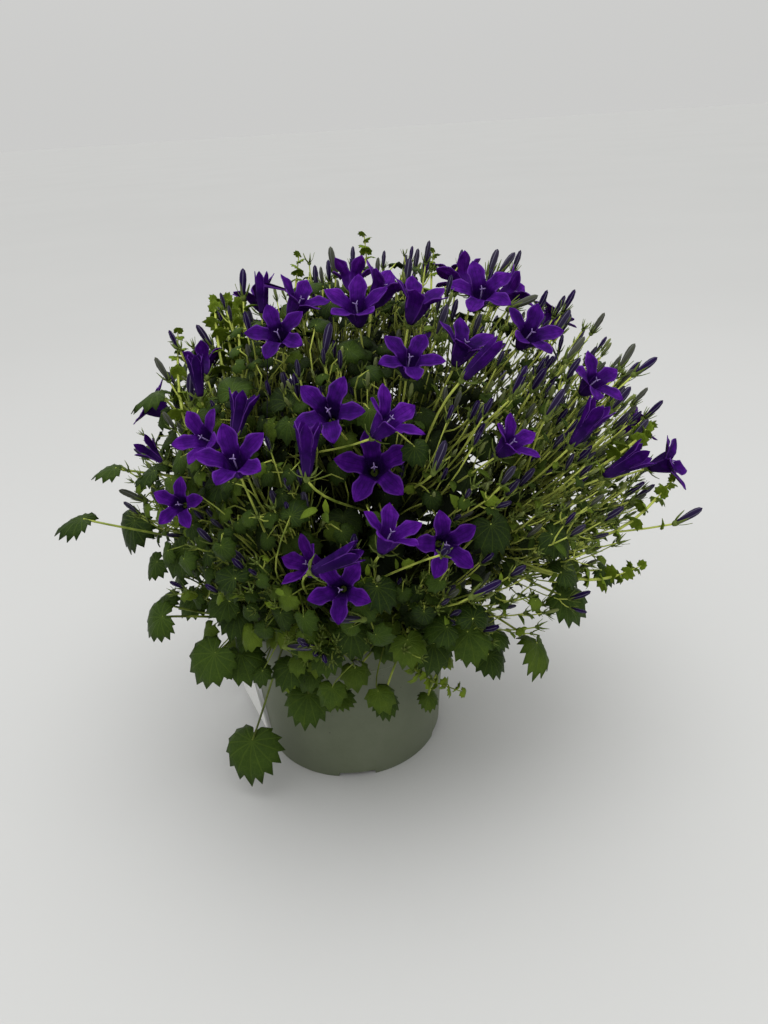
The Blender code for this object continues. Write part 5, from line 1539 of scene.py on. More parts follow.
extras = {
    "seed": 7,
    "innerLeaves": 1450,
    "innerShare": (0.10, 0.80),
    "innerLengths": (0.007, 0.0115),
    "airy": 1.0,  # share of the inner leaves left out at the far right
    "leftLeaves": 1700,
    "leftShare": (0.76, 1.0),
    "leftLengths": (0.0050, 0.0092),
    "leftEdge": 0.15,  # most that a left leaf's direction points to the right
    "farLeft": -0.45,  # and half of them keep to the left of this
    "lowWay": -0.78,  # height of the lowest direction in which leaves stand
    "paleBelow": 0.115,
    "rimLeaves": 420,
    "rimOut": (0.050, 0.085),
    "rimHeight": (0.080, 0.118),
    "rimLengths": (0.006, 0.0105),
    "soilLeaves": 110,
    "soilOut": 0.050,
    "soilHeight": (0.090, 0.115),
    "soilLengths": (0.009, 0.014),
    "bracts": (1, 3),
    "bractLengths": (0.0035, 0.0075),
    "bractReach": (0.45, 0.93),
    "bractTurn": 2.4,
    "bractTones": (0.35, 0.95),
    "sightReaches": (0.008, 0.018, 0.030),
    "sightRoom": 0.0075,
    "leafRoom": 0.40,  # radius of the balls that stand for a leaf, against the solids' ones
    "tones": (0.0, 0.34),
    "paleTone": 0.16,
    "leftTones": (0.0, 0.60),
    "innerTones": (0.0, 0.35),
    "ringTones": (0.15, 0.7),
    "nearStems": 3,
    "tries": 7,
    "shortest": 0.012,
    "trunkReach": (0.10, 0.98),
    "wander": 0.06,
    "leafStemRadius": 0.00048,
}
sprayForm = {
    "sprays": 800,
    "share": (0.78, 1.03),
    "low": -0.52,  # height of the lowest direction that a spray takes
    "leftOdds": 0.45,  # chance that a spray is kept at the far left, against 1 at the far right
    "thin": 0.35,  # chance at the far right's rear, which is seen through
    "thinFrom": 0.15,
    "source": Vector((0.0, 0.0, 0.070)),
    "rise": 0.30,
    "nodeStep": 0.0085,
    "nodeFrom": 0.30,
    "twigFrom": 0.58,
    "twigLengths": (0.005, 0.015),
    "leafLengths": (0.0042, 0.0085),
    "bractLengths": (0.0030, 0.0058),
    "petiole": (0.0025, 0.0065),
    "sizes": (0.28, 0.62),
    "tipSizes": (0.50, 0.90),
    "bractOdds": 0.6,
    "starShare": 0.35,  # share of the twigs that carry only a calyx
    "lowStars": 0.85,  # and of those of the low sprays
    "starHeight": 0.18,
    "plain": 300,  # stems with few leaves and no twigs
    "plainLow": -0.25,
    "plainOdds": 0.4,  # chance that a plain stem has no more leaves
    "plainStep": 2.5,
    "radius": 0.00052,
    "trunkReach": (0.04, 0.55),
    "wander": 0.03,
    "twigOdds": 0.75,
    "lastNode": 0.96,
    "leafRoom": 0.35,
    "tones": (0.12, 0.80),
}


def scatter(draw, *ranges):
    # A random vector, with each part in its own range
    return Vector([draw.uniform(*part) for part in ranges])


def sideways(run, turn):
    # Square to a stem, at a turn round it
    up = uprightTo(run)
    return up * math.cos(turn) + up.cross(run) * math.sin(turn)


def fineBalls(leaf, room):
    return [(place, radius * room) for place, radius in leafBalls(leaf)]


def joinTrunk(plant, number, end, arrive, radius, draw, reach, wander):
    # The controls of a thin stem from a trunk to a place, clear of the blooms, pot and card, or None
    trunk = plant["stems"][number]["trunk"]
    for attempt in range(extras["tries"]):
        start, rise = alongTrunk(trunk, draw.uniform(*reach))
        span = (end - start).length
        if span < extras["shortest"]:
            continue
        aside = Vector([draw.uniform(-1, 1) for _ in range(3)]) * span * (wander + 0.04 * attempt)
        leave = start + rise * span * draw.uniform(0.25, 0.45) + aside
        meet = end - arrive * span * draw.uniform(0.15, 0.40) - aside / 2
        balls = stemBalls(curvePoints(start, leave, meet, end, 5), radius)
        if not plant["crowd"].crossed(balls[2:], everyStem):
            return start, leave, meet, end
    return None


def addLeaf(plant, blades, leaf, draw):
    # Keeps an extra leaf where it clears the other blades and a stem reaches it
    balls = fineBalls(leaf, extras["leafRoom"])
    if blades.crossed(balls, []) or plant["crowd"].crossed(balls, everyStem):
        return False
    end, arrive = leafFoot(leaf)
    reach, wander, radius = extras["trunkReach"], extras["wander"], extras["leafStemRadius"]
    for number in nearestStems(plant, end)[:extras["nearStems"]]:
        bend = joinTrunk(plant, number, end, arrive, radius, draw, reach, wander)
        if bend:
            leaf["bend"], leaf["fine"] = bend, True
            plant["stems"][number]["leaves"].append(leaf)
            blades.add(balls, 0)
            return True
    return False


def crownLeaf(draw, way, share, lengths, tones):
    tone = draw.uniform(*tones)
    face = (way + scatter(draw, (-0.4, 0.4), (-0.5, 0.2), (0.3, 1.0))).normalized()
    tip = hangSquare(way * 0.8 + scatter(draw, (-0.7, 0.7), (-0.7, 0.7), (-1.0, 0.1)), face)
    length = draw.uniform(*lengths)
    return dict(face=face, tip=tip, length=length, at=onCrown(way, draw.uniform(*share)), tone=tone)


def ringLeaf(draw, out, height, lengths, hang):
    way = flatWay(draw.uniform(0, 2 * math.pi))
    face = (way * draw.uniform(0.4, 1.2) + Vector((0, 0, 1))).normalized()
    aside = Vector((draw.uniform(-0.6, 0.6), draw.uniform(-0.6, 0.6), hang * draw.uniform(0.4, 1.3)))
    tip = hangSquare(way + aside, face)
    place = way * out
    place.z = draw.uniform(*height)
    length = draw.uniform(*lengths)
    return dict(face=face, tip=tip, length=length, at=place, tone=draw.uniform(*extras["ringTones"]))


def sphereWay(draw, low):
    return crownWay(draw.uniform(low, 1.0), draw.uniform(0, 2 * math.pi))


# Leafy shoots that stand clear of the crown
sprigs = namedRows(("tip", "foot", "deep"), (
    ((215, 300), (217, 372), 0.03),
    ((227, 297), (227, 356), 0.04),
    ((241, 299), (234, 345), 0.02),
    ((673, 480), (596, 566), 0.0),
    ((641, 566), (575, 592), 0.0),
    ((650, 425), (610, 470), 0.0),
    ((463, 692), (405, 672), 0.0),
))
shootForm = {
    "leaves": 9,
    "from": 0.55,  # where the leaves begin along its stem
    "reach": 0.013,  # and how far they go on past the stem's end
    "lengths": (0.0075, 0.0035),
    "tones": (0.8, 1.1),
    "trunkShare": 0.6,
    "roomFrom": (0.5, 0.1, 6),  # first share along the stem, step and count of the balls that keep it seen
    "roomReaches": (0.0, 0.008, 0.016),
    "room": 0.004,
}


def throughFoot(start, foot, end):
    # A shoot leaves its trunk low, comes out at its foot and runs straight on to its tip
    return start, start.lerp(foot, 0.9), foot.lerp(end, 0.45), end


def addSprigs(plant):
    for stem in plant["stems"]:
        for bud in stem["buds"]:
            if bud.get("foot"):
                bud["bend"] = throughFoot(bud["bend"][0], crownPoint(bud["foot"]), bud["bend"][3])
    for sprig in sprigs:
        tip, foot = crownPoint(sprig["tip"], sprig["deep"]), crownPoint(sprig["foot"], sprig["deep"])
        number = nearestStems(plant, foot)[0]
        start, _ = alongTrunk(plant["stems"][number]["trunk"], shootForm["trunkShare"])
        axis = (tip - foot).normalized()
        end = tip - axis * shootForm["reach"]
        shoot = dict(at=end, axis=axis, leafy=True, bend=throughFoot(start, foot, end))
        plant["stems"][number]["buds"].append(shoot)


def clearSights(plant, blooms):
    # Keeps the extra growth out of the sight lines to the blooms that the picture shows
    for bloom in blooms[:len(seenBlooms)]:
        throat = bloom["base"] + bloom["axis"] * bloomForm["funnel"] * bloom["size"]
        toEye = (viewpoint["eye"] - throat).normalized()
        room = [(throat + toEye * reach, extras["sightRoom"]) for reach in extras["sightReaches"]]
        plant["crowd"].add(room, growing["cardOwner"])


def shootBalls(bud):
    # Room round the end of a leafy shoot's stem and in front of it
    balls = []
    first, step, count = shootForm["roomFrom"]
    for k in range(count):
        place, _ = bendPoint(bud["bend"], first + k * step)
        toEye = (viewpoint["eye"] - place).normalized()
        balls += [(place + toEye * reach, shootForm["room"]) for reach in shootForm["roomReaches"]]
    return balls


def toneLeaves(plant, blades, draw):
    # Shades the solids' leaves, and keeps them and the leafy shoots clear
    for stem in plant["stems"]:
        for leaf in stem["leaves"]:
            low = leaf["at"].z < extras["paleBelow"]
            leaf["tone"] = draw.uniform(*extras["tones"]) + (extras["paleTone"] if low else 0.0)
            blades.add(fineBalls(leaf, extras["leafRoom"]), 0)
        for bud in stem["buds"]:
            if bud.get("leafy"):
                blades.add(shootBalls(bud), 0)


def fillLeaves(plant, blades, draw):
    toneLeaves(plant, blades, draw)
    made = 0
    for _ in range(extras["rimLeaves"]):
        out = draw.uniform(*extras["rimOut"])
        leaf = ringLeaf(draw, out, extras["rimHeight"], extras["rimLengths"], -1.0)
        made += addLeaf(plant, blades, leaf, draw)
    for _ in range(extras["soilLeaves"]):
        out = extras["soilOut"] * math.sqrt(draw.random())
        leaf = ringLeaf(draw, out, extras["soilHeight"], extras["soilLengths"], 0.2)
        made += addLeaf(plant, blades, leaf, draw)
    for _ in range(extras["leftLeaves"]):
        edge = extras["leftEdge"] if draw.random() < 0.5 else extras["farLeft"]
        way = sphereWay(draw, extras["lowWay"])
        while way.x > edge:
            way = sphereWay(draw, extras["lowWay"])
        leaf = crownLeaf(draw, way, extras["leftShare"], extras["leftLengths"], extras["leftTones"])
        made += addLeaf(plant, blades, leaf, draw)
    for _ in range(extras["innerLeaves"]):
        way = sphereWay(draw, extras["lowWay"])
        if draw.random() < extras["airy"] * way.x:
            continue
        leaf = crownLeaf(draw, way, extras["innerShare"], extras["innerLengths"], extras["innerTones"])
        leaf["inner"] = True
        made += addLeaf(plant, blades, leaf, draw)
    return made


def shortBend(at, run, out, length, draw):
    # A short curved twig that leaves a stem sideways and turns up along it
    end = at + (out * draw.uniform(0.45, 0.8) + run * 0.75 + Vector((0, 0, 0.15))).normalized() * length
    arrive = (run + out * 0.35 + Vector((0, 0, 0.25))).normalized()
    return (at, at + (out + run * 0.4) * length * 0.3, end - arrive * length * 0.35, end), arrive


def addTwig(plant, stem, at, run, out, size, stars, draw):
    bend, axis = shortBend(at, run, out, draw.uniform(*sprayForm["twigLengths"]), draw)
    bud = dict(at=bend[3], axis=axis, size=size, bend=bend, fine=True, twig=True)
    bud["bare"] = draw.random() < stars
    if not plant["crowd"].crossed(budBalls(bud), everyStem):
        stem["buds"].append(bud)


def addNodeLeaf(plant, blades, stem, at, run, out, length, draw):
    bend, _ = shortBend(at, run, out, draw.uniform(*sprayForm["petiole"]), draw)
    face = (Vector((0, 0, 1)) + out * draw.uniform(0.2, 0.8) + run * 0.3).normalized()
    tip = hangSquare(out + Vector((draw.uniform(-0.4, 0.4), draw.uniform(-0.4, 0.4), -0.2)), face)
    leaf = dict(at=bend[3], tip=tip, face=face, length=length, bend=bend, fine=True, twig=True)
    leaf["tone"] = draw.uniform(*sprayForm["tones"])
    balls = fineBalls(leaf, sprayForm["leafRoom"])
    if blades.crossed(balls, []) or plant["crowd"].crossed(balls, everyStem):
        return
    blades.add(balls, 0)
    stem["leaves"].append(leaf)


def growSpray(plant, blades, draw, plain):
    # A thin stem out to the crown's surface: small leaves low down, twigs with buds or calyxes above
    way = sphereWay(draw, sprayForm["plainLow" if plain else "low"])
    odds = sprayForm["leftOdds"] + (1 - sprayForm["leftOdds"]) * (way.x + 1) / 2
    if way.x > sprayForm["thinFrom"] and way.y > 0:
        odds *= sprayForm["thin"]
    if draw.random() > odds:
        return 0
    end = onCrown(way, draw.uniform(*sprayForm["share"]))
    axis = ((end - sprayForm["source"]).normalized() + Vector((0, 0, sprayForm["rise"]))).normalized()
    stars = sprayForm["lowStars" if way.z < sprayForm["starHeight"] else "starShare"]
    bud = dict(at=end, axis=axis, size=draw.uniform(*sprayForm["tipSizes"]), fine=True)
    bud["bare"] = draw.random() < stars * 0.7
    if plant["crowd"].crossed(budBalls(bud), everyStem):
        return 0
    reach, wander = sprayForm["trunkReach"], sprayForm["wander"]
    for number in nearestStems(plant, end)[:extras["nearStems"]]:
        bend = joinTrunk(plant, number, end, axis, sprayForm["radius"], draw, reach, wander)
        if bend:
            break
    else:
        return 0
    bud["bend"] = bend
    stem = plant["stems"][number]
    stem["buds"].append(bud)
    span = (bend[3] - bend[0]).length
    share, turn = sprayForm["nodeFrom"], anyTurn(draw)
    while share < sprayForm["lastNode"] and not (plain and draw.random() < sprayForm["plainOdds"]):
        at, run = bendPoint(bend, share)
        turn += goldenTurn
        out = sideways(run, turn)
        if share > sprayForm["twigFrom"] and not plain and draw.random() < sprayForm["twigOdds"]:
            size = draw.uniform(*sprayForm["sizes"]) * (0.7 + 0.5 * share)
            addTwig(plant, stem, at, run, out, size, stars, draw)
        leafy = share < 0.8 - 0.3 * way.z and way.x < 0.2 and not plain
        if leafy or draw.random() < sprayForm["bractOdds"]:
            lengths = sprayForm["leafLengths" if leafy else "bractLengths"]
            addNodeLeaf(plant, blades, stem, at, run, out, draw.uniform(*lengths), draw)
        step = sprayForm["nodeStep"] / span * draw.uniform(0.7, 1.5)
        share += step * (sprayForm["plainStep"] if plain else 1.0)
    return 1


def bendPoint(bend, t):
    s = 1 - t
    start, leave, meet, end = bend
    place = s**3 * start + 3 * s * s * t * leave + 3 * s * t * t * meet + t**3 * end
    run = s * s * (leave - start) + 2 * s * t * (meet - leave) + t * t * (end - meet)
    return place, run.normalized()


def addShoot(shape, patterns, bud, draw):
    # A leafy shoot: small leaves up the end of its stem and on past it, smaller and smaller
    turn = anyTurn(draw)
    longest, shortest = shootForm["lengths"]
    for k in range(shootForm["leaves"]):
        share = k / (shootForm["leaves"] - 1)
        if share < 0.5:
            at, run = bendPoint(bud["bend"], shootForm["from"] + (1 - shootForm["from"]) * share * 2)
        else:
            at, run = bud["at"] + bud["axis"] * shootForm["reach"] * (2 * share - 1), bud["axis"]
        turn += goldenTurn
        out = sideways(run, turn)
        tip = (out + run * (0.3 + 0.8 * share)).normalized()
        length = longest + (shortest - longest) * share
        place = placeLeaf(at, tip, hangSquare(run - out * 0.3, tip), length)
        stamp(shape, draw.choice(patterns), place, draw.uniform(*shootForm["tones"]))


def addBracts(shape, patterns, bend, draw):
    # Small narrow leaves along a stem, turning round it
    turn = anyTurn(draw)
    for _ in range(draw.randint(*extras["bracts"])):
        at, run = bendPoint(bend, draw.uniform(*extras["bractReach"]))
        turn += extras["bractTurn"]
        out = sideways(run, turn)
        tip = (out + run * draw.uniform(0.3, 0.9)).normalized()
        place = placeLeaf(at, tip, hangSquare(run - out * 0.3, tip), draw.uniform(*extras["bractLengths"]))
        stamp(shape, draw.choice(patterns), place, draw.uniform(*extras["bractTones"]))


# Each leafy stem: its stems, leaves and buds

stemLook = {
    "trunk": (0.00120, 0.00085),
    "bloomStalk": (0.00058, 0.00048),
    "budStalk": (0.00058, 0.00046),
    "leafStalk": (0.00066, 0.00052),
    "fineStalk": (0.00048, 0.00034),
    "twigStalk": (0.00040, 0.00030),
    "shootStalk": (0.00085, 0.00062),
    "steps": 9,
    "twigSteps": 3,
    "innerSteps": 5,
    "pastSteps": 2,
    "trunkSteps": 4,
    "eased": 0.75,
    "weld": 0.000005,
}


def eased(bend, share):
    # Takes the swing out of a stalk
    start, leave, meet, end = bend
    return start, leave.lerp(start.lerp(end, 0.33), share), meet.lerp(start.lerp(end, 0.67), share), end


def addSpline(curve, bend, radii, steps):
    line = curve.splines.new("BEZIER")
    line.bezier_points.add(1)
    line.resolution_u = steps
    start, leave, meet, end = bend
    low, high = line.bezier_points
    for point, place, before, after, radius in (
        (low, start, start * 2 - leave, leave, radii[0]), (high, end, meet, end * 2 - meet, radii[1]),
    ):
        point.handle_left_type = point.handle_right_type = "FREE"
        point.co, point.handle_left, point.handle_right, point.radius = place, before, after, radius


def addTrunk(curve, places, radii):
    line = curve.splines.new("BEZIER")
    line.bezier_points.add(len(places) - 1)
    line.resolution_u = stemLook["trunkSteps"]
    for k, (point, place) in enumerate(zip(line.bezier_points, places)):
        point.co = place
        point.handle_left_type = point.handle_right_type = "AUTO"
        point.radius = radii[0] + (radii[1] - radii[0]) * k / (len(places) - 1)


def curveMesh(name, curve):
    return finalMesh(addObject(name + "Curve", curve))


def startCurve(name, roundness):
    curve = bpy.data.curves.new(name, "CURVE")
    curve.dimensions = "3D"
    curve.bevel_depth = 1.0
    curve.bevel_resolution = roundness
    curve.use_fill_caps = True
    return curve


def addStalk(thick, fine, item, kind):
    end, steps = item["bend"][3], stemLook["steps"]
    if item.get("leafy"):
        top = item["at"] + item["axis"] * shootForm["reach"]
        past = (end, end.lerp(top, 0.33), end.lerp(top, 0.67), top)
        addSpline(fine, past, stemLook["twigStalk"], stemLook["pastSteps"])
    if item.get("twig"):
        addSpline(fine, item["bend"], stemLook["twigStalk"], stemLook["twigSteps"])
    elif item.get("fine"):
        steps = stemLook["innerSteps"] if item.get("inner") else steps
        addSpline(fine, item["bend"], stemLook["fineStalk"], steps)
    elif item.get("leafy"):
        addSpline(thick, item["bend"], stemLook["shootStalk"], steps)
    else:
        addSpline(thick, eased(item["bend"], stemLook["eased"]), stemLook[kind], steps)


def stemMesh(name, stem):
    thick, fine = startCurve(name, 1), startCurve(name + "Fine", 0)
    addTrunk(thick, stem["trunk"], stemLook["trunk"])
    for kind, group in (("bloomStalk", "blooms"), ("budStalk", "buds"), ("leafStalk", "leaves")):
        for item in stem[group]:
            addStalk(thick, fine, item, kind)
    shape = bmesh.new()
    for curve in (thick, fine):
        shape.from_mesh(curveMesh(name, curve))
    bmesh.ops.remove_doubles(shape, verts=shape.verts, dist=stemLook["weld"])
    return keepPattern(name, shape)


def leafSort(leaf):
    if not leaf.get("fine"):
        return "leaves"
    if leaf.get("inner"):
        return "innerLeaves"
    return "nodeLeaves" if leaf.get("twig") else "fineLeaves"


def stampBud(buds, patterns, bud, draw):
    at, axis, size = bud["at"], bud["axis"], bud["size"]
    sort = "fine" if bud.get("fine") else "full"
    if bud.get("bare"):
        least, more = budLook["bareSize"]
        place = placeAbout(at, axis, least + more * size, draw.uniform(0, 6))
        stamp(buds, patterns["calyxes"]["fine"], place, budFinish["calyxTone"])
        return
    ripe = draw.uniform(*budLook["young"]) if size < budLook["youngSize"] else draw.choice(budLook["ripe"])
    place = placeAbout(at + axis * budLook["lift"], axis, size, budForm["spin"])
    stamp(buds, patterns["buds"][sort], place, ripe)
    place = placeAbout(at, axis, size, budForm["spin"])
    stamp(buds, patterns["calyxes"][sort], place, budFinish["calyxTone"])


def growStemPieces(number, stem, patterns, surfaces, draw):
    nodes = ["leafy_stem_%02d" % number]
    name = "stems_%02d" % number
    layPiece(name, stemMesh(name, stem), surfaces["stem"], nodes)
    leaves = bmesh.new()
    for leaf in stem["leaves"]:
        place = placeLeaf(leaf["at"], leaf["tip"], leaf["face"], leaf["length"])
        stamp(leaves, draw.choice(patterns[leafSort(leaf)]), place, leaf["tone"])
    for item in stem["blooms"] + stem["buds"]:
        if item.get("leafy"):
            addShoot(leaves, patterns["fineLeaves"], item, draw)
        elif not item.get("twig"):
            addBracts(leaves, patterns["bracts"], item["bend"], draw)
    shapePiece("leaves_%02d" % number, leaves, surfaces["leaf"], nodes)
    buds = bmesh.new()
    for bloom in stem["blooms"]:
        place = placeAbout(bloom["foot"], bloom["axis"], 1.0, bloom["calyxSpin"])
        stamp(buds, patterns["bloomCalyx"], place, budFinish["calyxTone"])
    for bud in stem["buds"]:
        if not bud.get("leafy"):
            stampBud(buds, patterns, bud, draw)
    shapePiece("buds_%02d" % number, buds, surfaces["bud"], nodes)


# The pot, its soil and its card

potLook = {
    "steps": 120,
    "weld": 0.00001,
    "lipRound": 0.0007,
    "lipSegments": 3,
    "sharp": math.radians(30),
    "shadeSharp": math.radians(35),
    "notchRound": 0.0016,
    "notchSegments": 4,
    "colour": (0.096, 0.114, 0.066),
    "worn": (0.132, 0.150, 0.098),
    "stops": (0.35, 0.75),
    "scuffs": (28.0, 6.0, 0.7),
    "dust": (0.060, 0.055, 0.035),
    "dustShare": 0.8,
    "specks": 420.0,
    "speckFrom": 0.765,
    "speckRise": (0.030, 0.095),  # specks of soil gather under the lip
    "speckMore": 0.10,
    "grain": 900.0,
    "bump": (0.20, 0.0002),
    "roughness": 0.46,
    "roughRange": (0.38, 0.58),
    "specular": 0.45,
}


def potMaterial():
    surface, paint = startMaterial("potPlastic", potLook)
    scuffs = paint.noise(*potLook["scuffs"])
    colour = paint.ramp(scuffs, potLook, "colour", "worn")
    _, _, z = paint.split(paint.point())
    more = paint.fade(z, potLook["speckRise"], (0.0, potLook["speckMore"]))
    specks = paint.plus(paint.noise(potLook["specks"], 2.0), more)
    spotted = paint.times(paint.math("GREATER_THAN", specks, potLook["speckFrom"]), potLook["dustShare"])
    colour = paint.mix(spotted, colour, potLook["dust"])
    paint.coat(colour, paint.noise(potLook["grain"]), potLook["bump"])
    rough = paint.fade(scuffs, (0.0, 1.0), potLook["roughRange"])
    paint.feed(paint.nodes["Principled BSDF"].inputs["Roughness"], rough)
    return surface


def isTurned(edge):
    return len(edge.link_faces) == 2 and edge.calc_face_angle() > potLook["sharp"]


def isUpright(edge):
    # Of a notch's cutter: a top edge that runs across the pot's wall
    first, second = edge.verts
    return min(first.co.z, second.co.z) > 0 and abs(first.co.x - second.co.x) > 0.001


def potProfile():
    lipLow = potForm["height"] - potForm["lipHeight"]
    lipOut = wallRadius(potForm["height"]) + potForm["lipProud"]
    inner = wallRadius(potForm["height"]) - potForm["wall"]
    return (
        (0, 0), (potForm["baseRadius"], 0), (wallRadius(lipLow * 0.5), lipLow * 0.5),
        (wallRadius(lipLow), lipLow),
        (wallRadius(lipLow) + potForm["lipProud"], lipLow + potForm["edgeRound"]),
        (lipOut, potForm["height"]), (inner, potForm["height"]),
        (wallRadius(potForm["baseThickness"]) - potForm["wall"], potForm["baseThickness"]),
        (0, potForm["baseThickness"]),
    )


def notchCutter(k):
    cut = bmesh.new()
    bmesh.ops.create_cube(cut, size=1.0)
    size = (2 * potForm["notchDepth"], potForm["notchWidth"], 2 * potForm["notchHeight"])
    for vert in cut.verts:
        for axis in range(3):
            vert.co[axis] *= size[axis]
        vert.co.x += potForm["baseRadius"]
    bmesh.ops.bevel(
        cut, geom=[edge for edge in cut.edges if isUpright(edge)], offset=potLook["notchRound"],
        offset_type="OFFSET", segments=potLook["notchSegments"], profile=0.5, affect="EDGES", material=-1,
    )
    turned = Matrix.Rotation(potForm["firstNotchAngle"] + 2 * math.pi * k / potForm["notches"], 4, "Z")
    bmesh.ops.transform(cut, matrix=turned, verts=cut.verts)
    return bpy.data.objects.new("notch", keepPattern("notch", cut))


def buildPot(surface):
    shape = bmesh.new()
    spinProfile(shape, potProfile(), potLook["steps"], potLook["weld"])
    bmesh.ops.bevel(
        shape, geom=[edge for edge in shape.edges if isTurned(edge)], offset=potLook["lipRound"],
        offset_type="OFFSET", segments=potLook["lipSegments"], profile=0.5, affect="EDGES", material=-1,
        clamp_overlap=True,
    )
    pot = addObject("potBlank", keepPattern("flower_pot", shape))
    group = bpy.data.collections.new("potCutters")
    for k in range(potForm["notches"]):
        group.objects.link(notchCutter(k))
    notch = pot.modifiers.new("notch", "BOOLEAN")
    notch.operation, notch.operand_type, notch.collection = "DIFFERENCE", "COLLECTION", group
    mesh = finalMesh(pot)
    for cutter in list(group.objects):
        bpy.data.objects.remove(cutter)
    bpy.data.collections.remove(group)
    layPiece("flower_pot", mesh, surface, ["pot"])
    mesh.set_sharp_from_angle(angle=potLook["shadeSharp"])


soilLook = {
    "seed": 5,
    "rings": 22,
    "steps": 84,
    "lumps": 0.0026,
    "lumpScale": 130,
    "crumbs": 150,
    "crumbSize": (0.0008, 0.0020),
    "crumbLift": (0.0002, 0.0012),
    "crumbEdge": 0.003,  # metres that crumbs keep from the pot
    "crumbUneven": (0.7, 1.2),
    "dark": (0.012, 0.008, 0.006),
    "brown": (0.050, 0.032, 0.020),
    "stops": (0.35, 0.75),
    "peat": (350.0, 8.0, 0.7),
    "bump": (0.8, 0.0015),
    "roughness": 0.95,
    "specular": 0.2,
}


def soilMaterial():
    surface, paint = startMaterial("soilPeat", soilLook)
    peat = paint.noise(*soilLook["peat"])
    paint.coat(paint.ramp(peat, soilLook, "dark", "brown"), peat, soilLook["bump"])
    return surface


def addCrumb(shape, edge, draw):
    turn, out = anyTurn(draw), (edge - soilLook["crumbEdge"]) * math.sqrt(draw.random())
    height = soilForm["top"] + draw.uniform(*soilLook["crumbLift"])
    place = Vector((out * math.cos(turn), out * math.sin(turn), height))
    roll = draw.uniform(0, 3)
    tipped = Matrix.Rotation(roll, 4, Vector((draw.random(), draw.random(), 1)).normalized())
    made = bmesh.ops.create_icosphere(
        shape, subdivisions=1, radius=draw.uniform(*soilLook["crumbSize"]),
        matrix=Matrix.Translation(place) @ tipped,
    )
    for vert in made["verts"]:
        vert.co = place + (vert.co - place) * draw.uniform(*soilLook["crumbUneven"])


def buildSoil(surface, draw):
    low, top = soilForm["bottom"], soilForm["top"]
    edge = wallRadius(top) - potForm["wall"] - soilForm["gap"]
    foot = wallRadius(low) - potForm["wall"] - soilForm["gap"]
    shape = bmesh.new()
    rings = [(edge * (1 - k / soilLook["rings"]), top) for k in range(soilLook["rings"] + 1)]
    spinProfile(shape, [(0, low), (foot, low)] + rings, soilLook["steps"], potLook["weld"])
    for vert in shape.verts:
        out = math.hypot(vert.co.x, vert.co.y)
        if vert.co.z > top - 0.0001 and out < edge * 0.99:
            vert.co.z += soilLook["lumps"] * noise.fractal(vert.co * soilLook["lumpScale"], 1.0, 2.0, 4)
    for _ in range(soilLook["crumbs"]):
        addCrumb(shape, edge, draw)
    shapePiece("potting_soil", shape, surface, ["soil"])


cardLook = {
    "white": (0.74, 0.74, 0.72),
    "whiter": (0.82, 0.82, 0.80),
    "stops": (0.3, 0.7),
    "fibres": (600.0, 4.0),
    "bump": (0.1, 0.0001),
    "roughness": 0.5,
    "specular": 0.4,
}


def cardMaterial():
    surface, paint = startMaterial("cardWhite", cardLook)
    fibres = paint.noise(*cardLook["fibres"])
    paint.coat(paint.ramp(fibres, cardLook, "white", "whiter"), fibres, cardLook["bump"])
    return surface


# Everything is made here

plant, blooms = growPlant()
held = {group: sum(len(stem[group]) for stem in plant["stems"]) for group in ("leaves", "buds")}
print("laid out:", len(blooms), "blooms,", held["leaves"], "leaves,", held["buds"], "buds")
extraDraw = random.Random(extras["seed"])
blades = Crowd()
addSprigs(plant)
clearSights(plant, blooms)
print("extra leaves:", fillLeaves(plant, blades, extraDraw))
print("sprays:", sum(growSpray(plant, blades, extraDraw, False) for _ in range(sprayForm["sprays"])))
print("plain stems:", sum(growSpray(plant, blades, extraDraw, True) for _ in range(sprayForm["plain"])))

surfaces = {"leaf": leafMaterial(), "stem": stemMaterial(), "bud": budMaterial(), "petal": petalMaterial()}
patterns = {sort: leafPatterns(sort, extraDraw) for sort in leafSorts}
patterns.update({
    "bracts": [bractPattern("bract0", 0.24, 0.06), bractPattern("bract1", 0.34, 0.12)],
    "buds": {
        "full": budPattern("bud", budLook["profile"], budLook["slim"]),
        "fine": budPattern("fineBud", budLook["fineProfile"], budLook["slim"] * budLook["fineSlim"]),
    },
    "calyxes": {
        "full": calyxPattern("calyx", calyxLook["ovary"], *calyxLook["full"]),
        "fine": calyxPattern("fineCalyx", calyxLook["fineOvary"], *calyxLook["fine"]),
    },
    "bloomCalyx": calyxPattern("bloomCalyx", calyxLook["ovary"], *calyxLook["bloom"]),
})
bloomDraw = random.Random(bloomLook["seed"])
for number, bloom in enumerate(blooms, 1):
    shape = bloomShape(bloom, bloomDraw)
    shapePiece("flower_%02d" % number, shape, surfaces["petal"], ["bloom_%02d" % number])
print("blooms made")
for number, stem in enumerate(plant["stems"], 1):
    growStemPieces(number, stem, patterns, surfaces, extraDraw)
print("stems, leaves and buds made")
buildPot(potMaterial())
buildSoil(soilMaterial(), random.Random(soilLook["seed"]))
card = frame["nodes"]["care_card"]
card.data.materials.clear()
card.data.materials.append(cardMaterial())
print("pot, soil and card made")

# Floor, light and camera

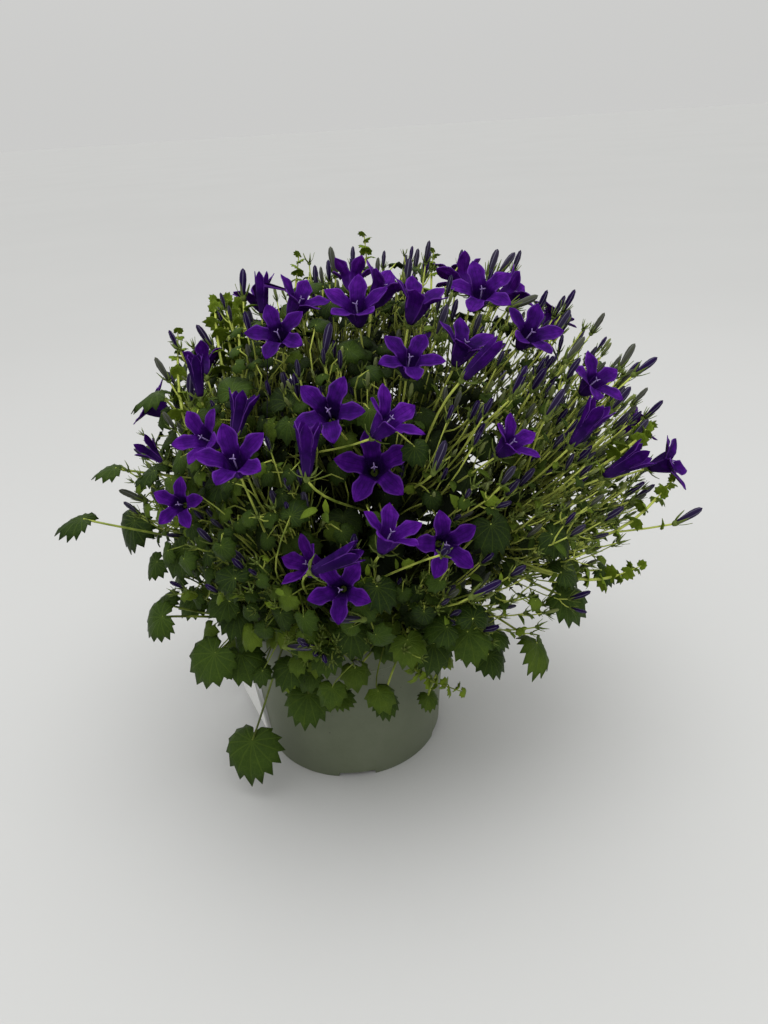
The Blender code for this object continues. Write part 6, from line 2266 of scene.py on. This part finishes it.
stageLook = {
    "floorSize": 30.0,
    "floor": (0.532, 0.534, 0.530),
    "floorLight": (0.54796, 0.55002, 0.5459),
    "stops": (0.3, 0.7),
    "patches": 1.5,
    "roughness": 0.7,
    "specular": 0.3,
    "skyTint": (1.0, 1.0, 0.985),
    "horizon": 0.60,
    "overhead": 0.96,
    "overheadPower": 2.0,
    "light": (0.12, -0.20, 1.25),
    "lightAt": Vector((0.02, 0, 0.15)),
    "lightSize": 0.90,
    "lightPower": 4.9,
    "sensor": 36.0,
    "lens": 28.125,
    "shift": (0.0015, -0.0371),
    "clipStart": 0.01,
}


def buildFloor():
    shape = bmesh.new()
    bmesh.ops.create_grid(shape, x_segments=1, y_segments=1, size=stageLook["floorSize"])
    mesh = keepPattern("studio_floor", shape)
    floor = addObject("studio_floor", mesh)
    surface, paint = startMaterial("floorPale", stageLook)
    paint.coat(paint.ramp(paint.noise(stageLook["patches"]), stageLook, "floor", "floorLight"))
    mesh.materials.append(surface)


def buildLight():
    world = bpy.context.scene.world or bpy.data.worlds.new("studio")
    bpy.context.scene.world = world
    world.use_nodes = True
    paint = Paint(world.node_tree)
    sky = paint.nodes["Background"]
    paint.feed(sky.inputs["Color"], stageLook["skyTint"])
    _, _, z = paint.split(paint.add("TexCoord", {}, "Generated"))
    high = paint.math("POWER", paint.math("MAXIMUM", z, 0.0), stageLook["overheadPower"])
    strength = paint.plus(paint.times(high, stageLook["overhead"]), stageLook["horizon"])
    paint.feed(sky.inputs["Strength"], strength)
    light = bpy.data.lights.new("window", "AREA")
    light.shape, light.size, light.energy = "DISK", stageLook["lightSize"], stageLook["lightPower"]
    lamp = addObject("window", light)
    lamp.location = stageLook["light"]
    way = stageLook["lightAt"] - Vector(stageLook["light"])
    lamp.rotation_euler = way.to_track_quat("-Z", "Y").to_euler()


def buildCamera():
    level, upright, back = pictureAxes()
    lens = bpy.data.cameras.new("viewpoint")
    lens.sensor_width, lens.lens = stageLook["sensor"], stageLook["lens"]
    lens.shift_x, lens.shift_y = stageLook["shift"]
    lens.clip_start = stageLook["clipStart"]
    camera = addObject("viewpoint", lens)
    turned = Matrix((level, upright, back)).transposed()
    camera.matrix_world = Matrix.Translation(viewpoint["eye"]) @ turned.to_4x4()
    bpy.context.scene.camera = camera
    bpy.context.scene.view_settings.view_transform = "Standard"


buildFloor()
buildLight()
buildCamera()
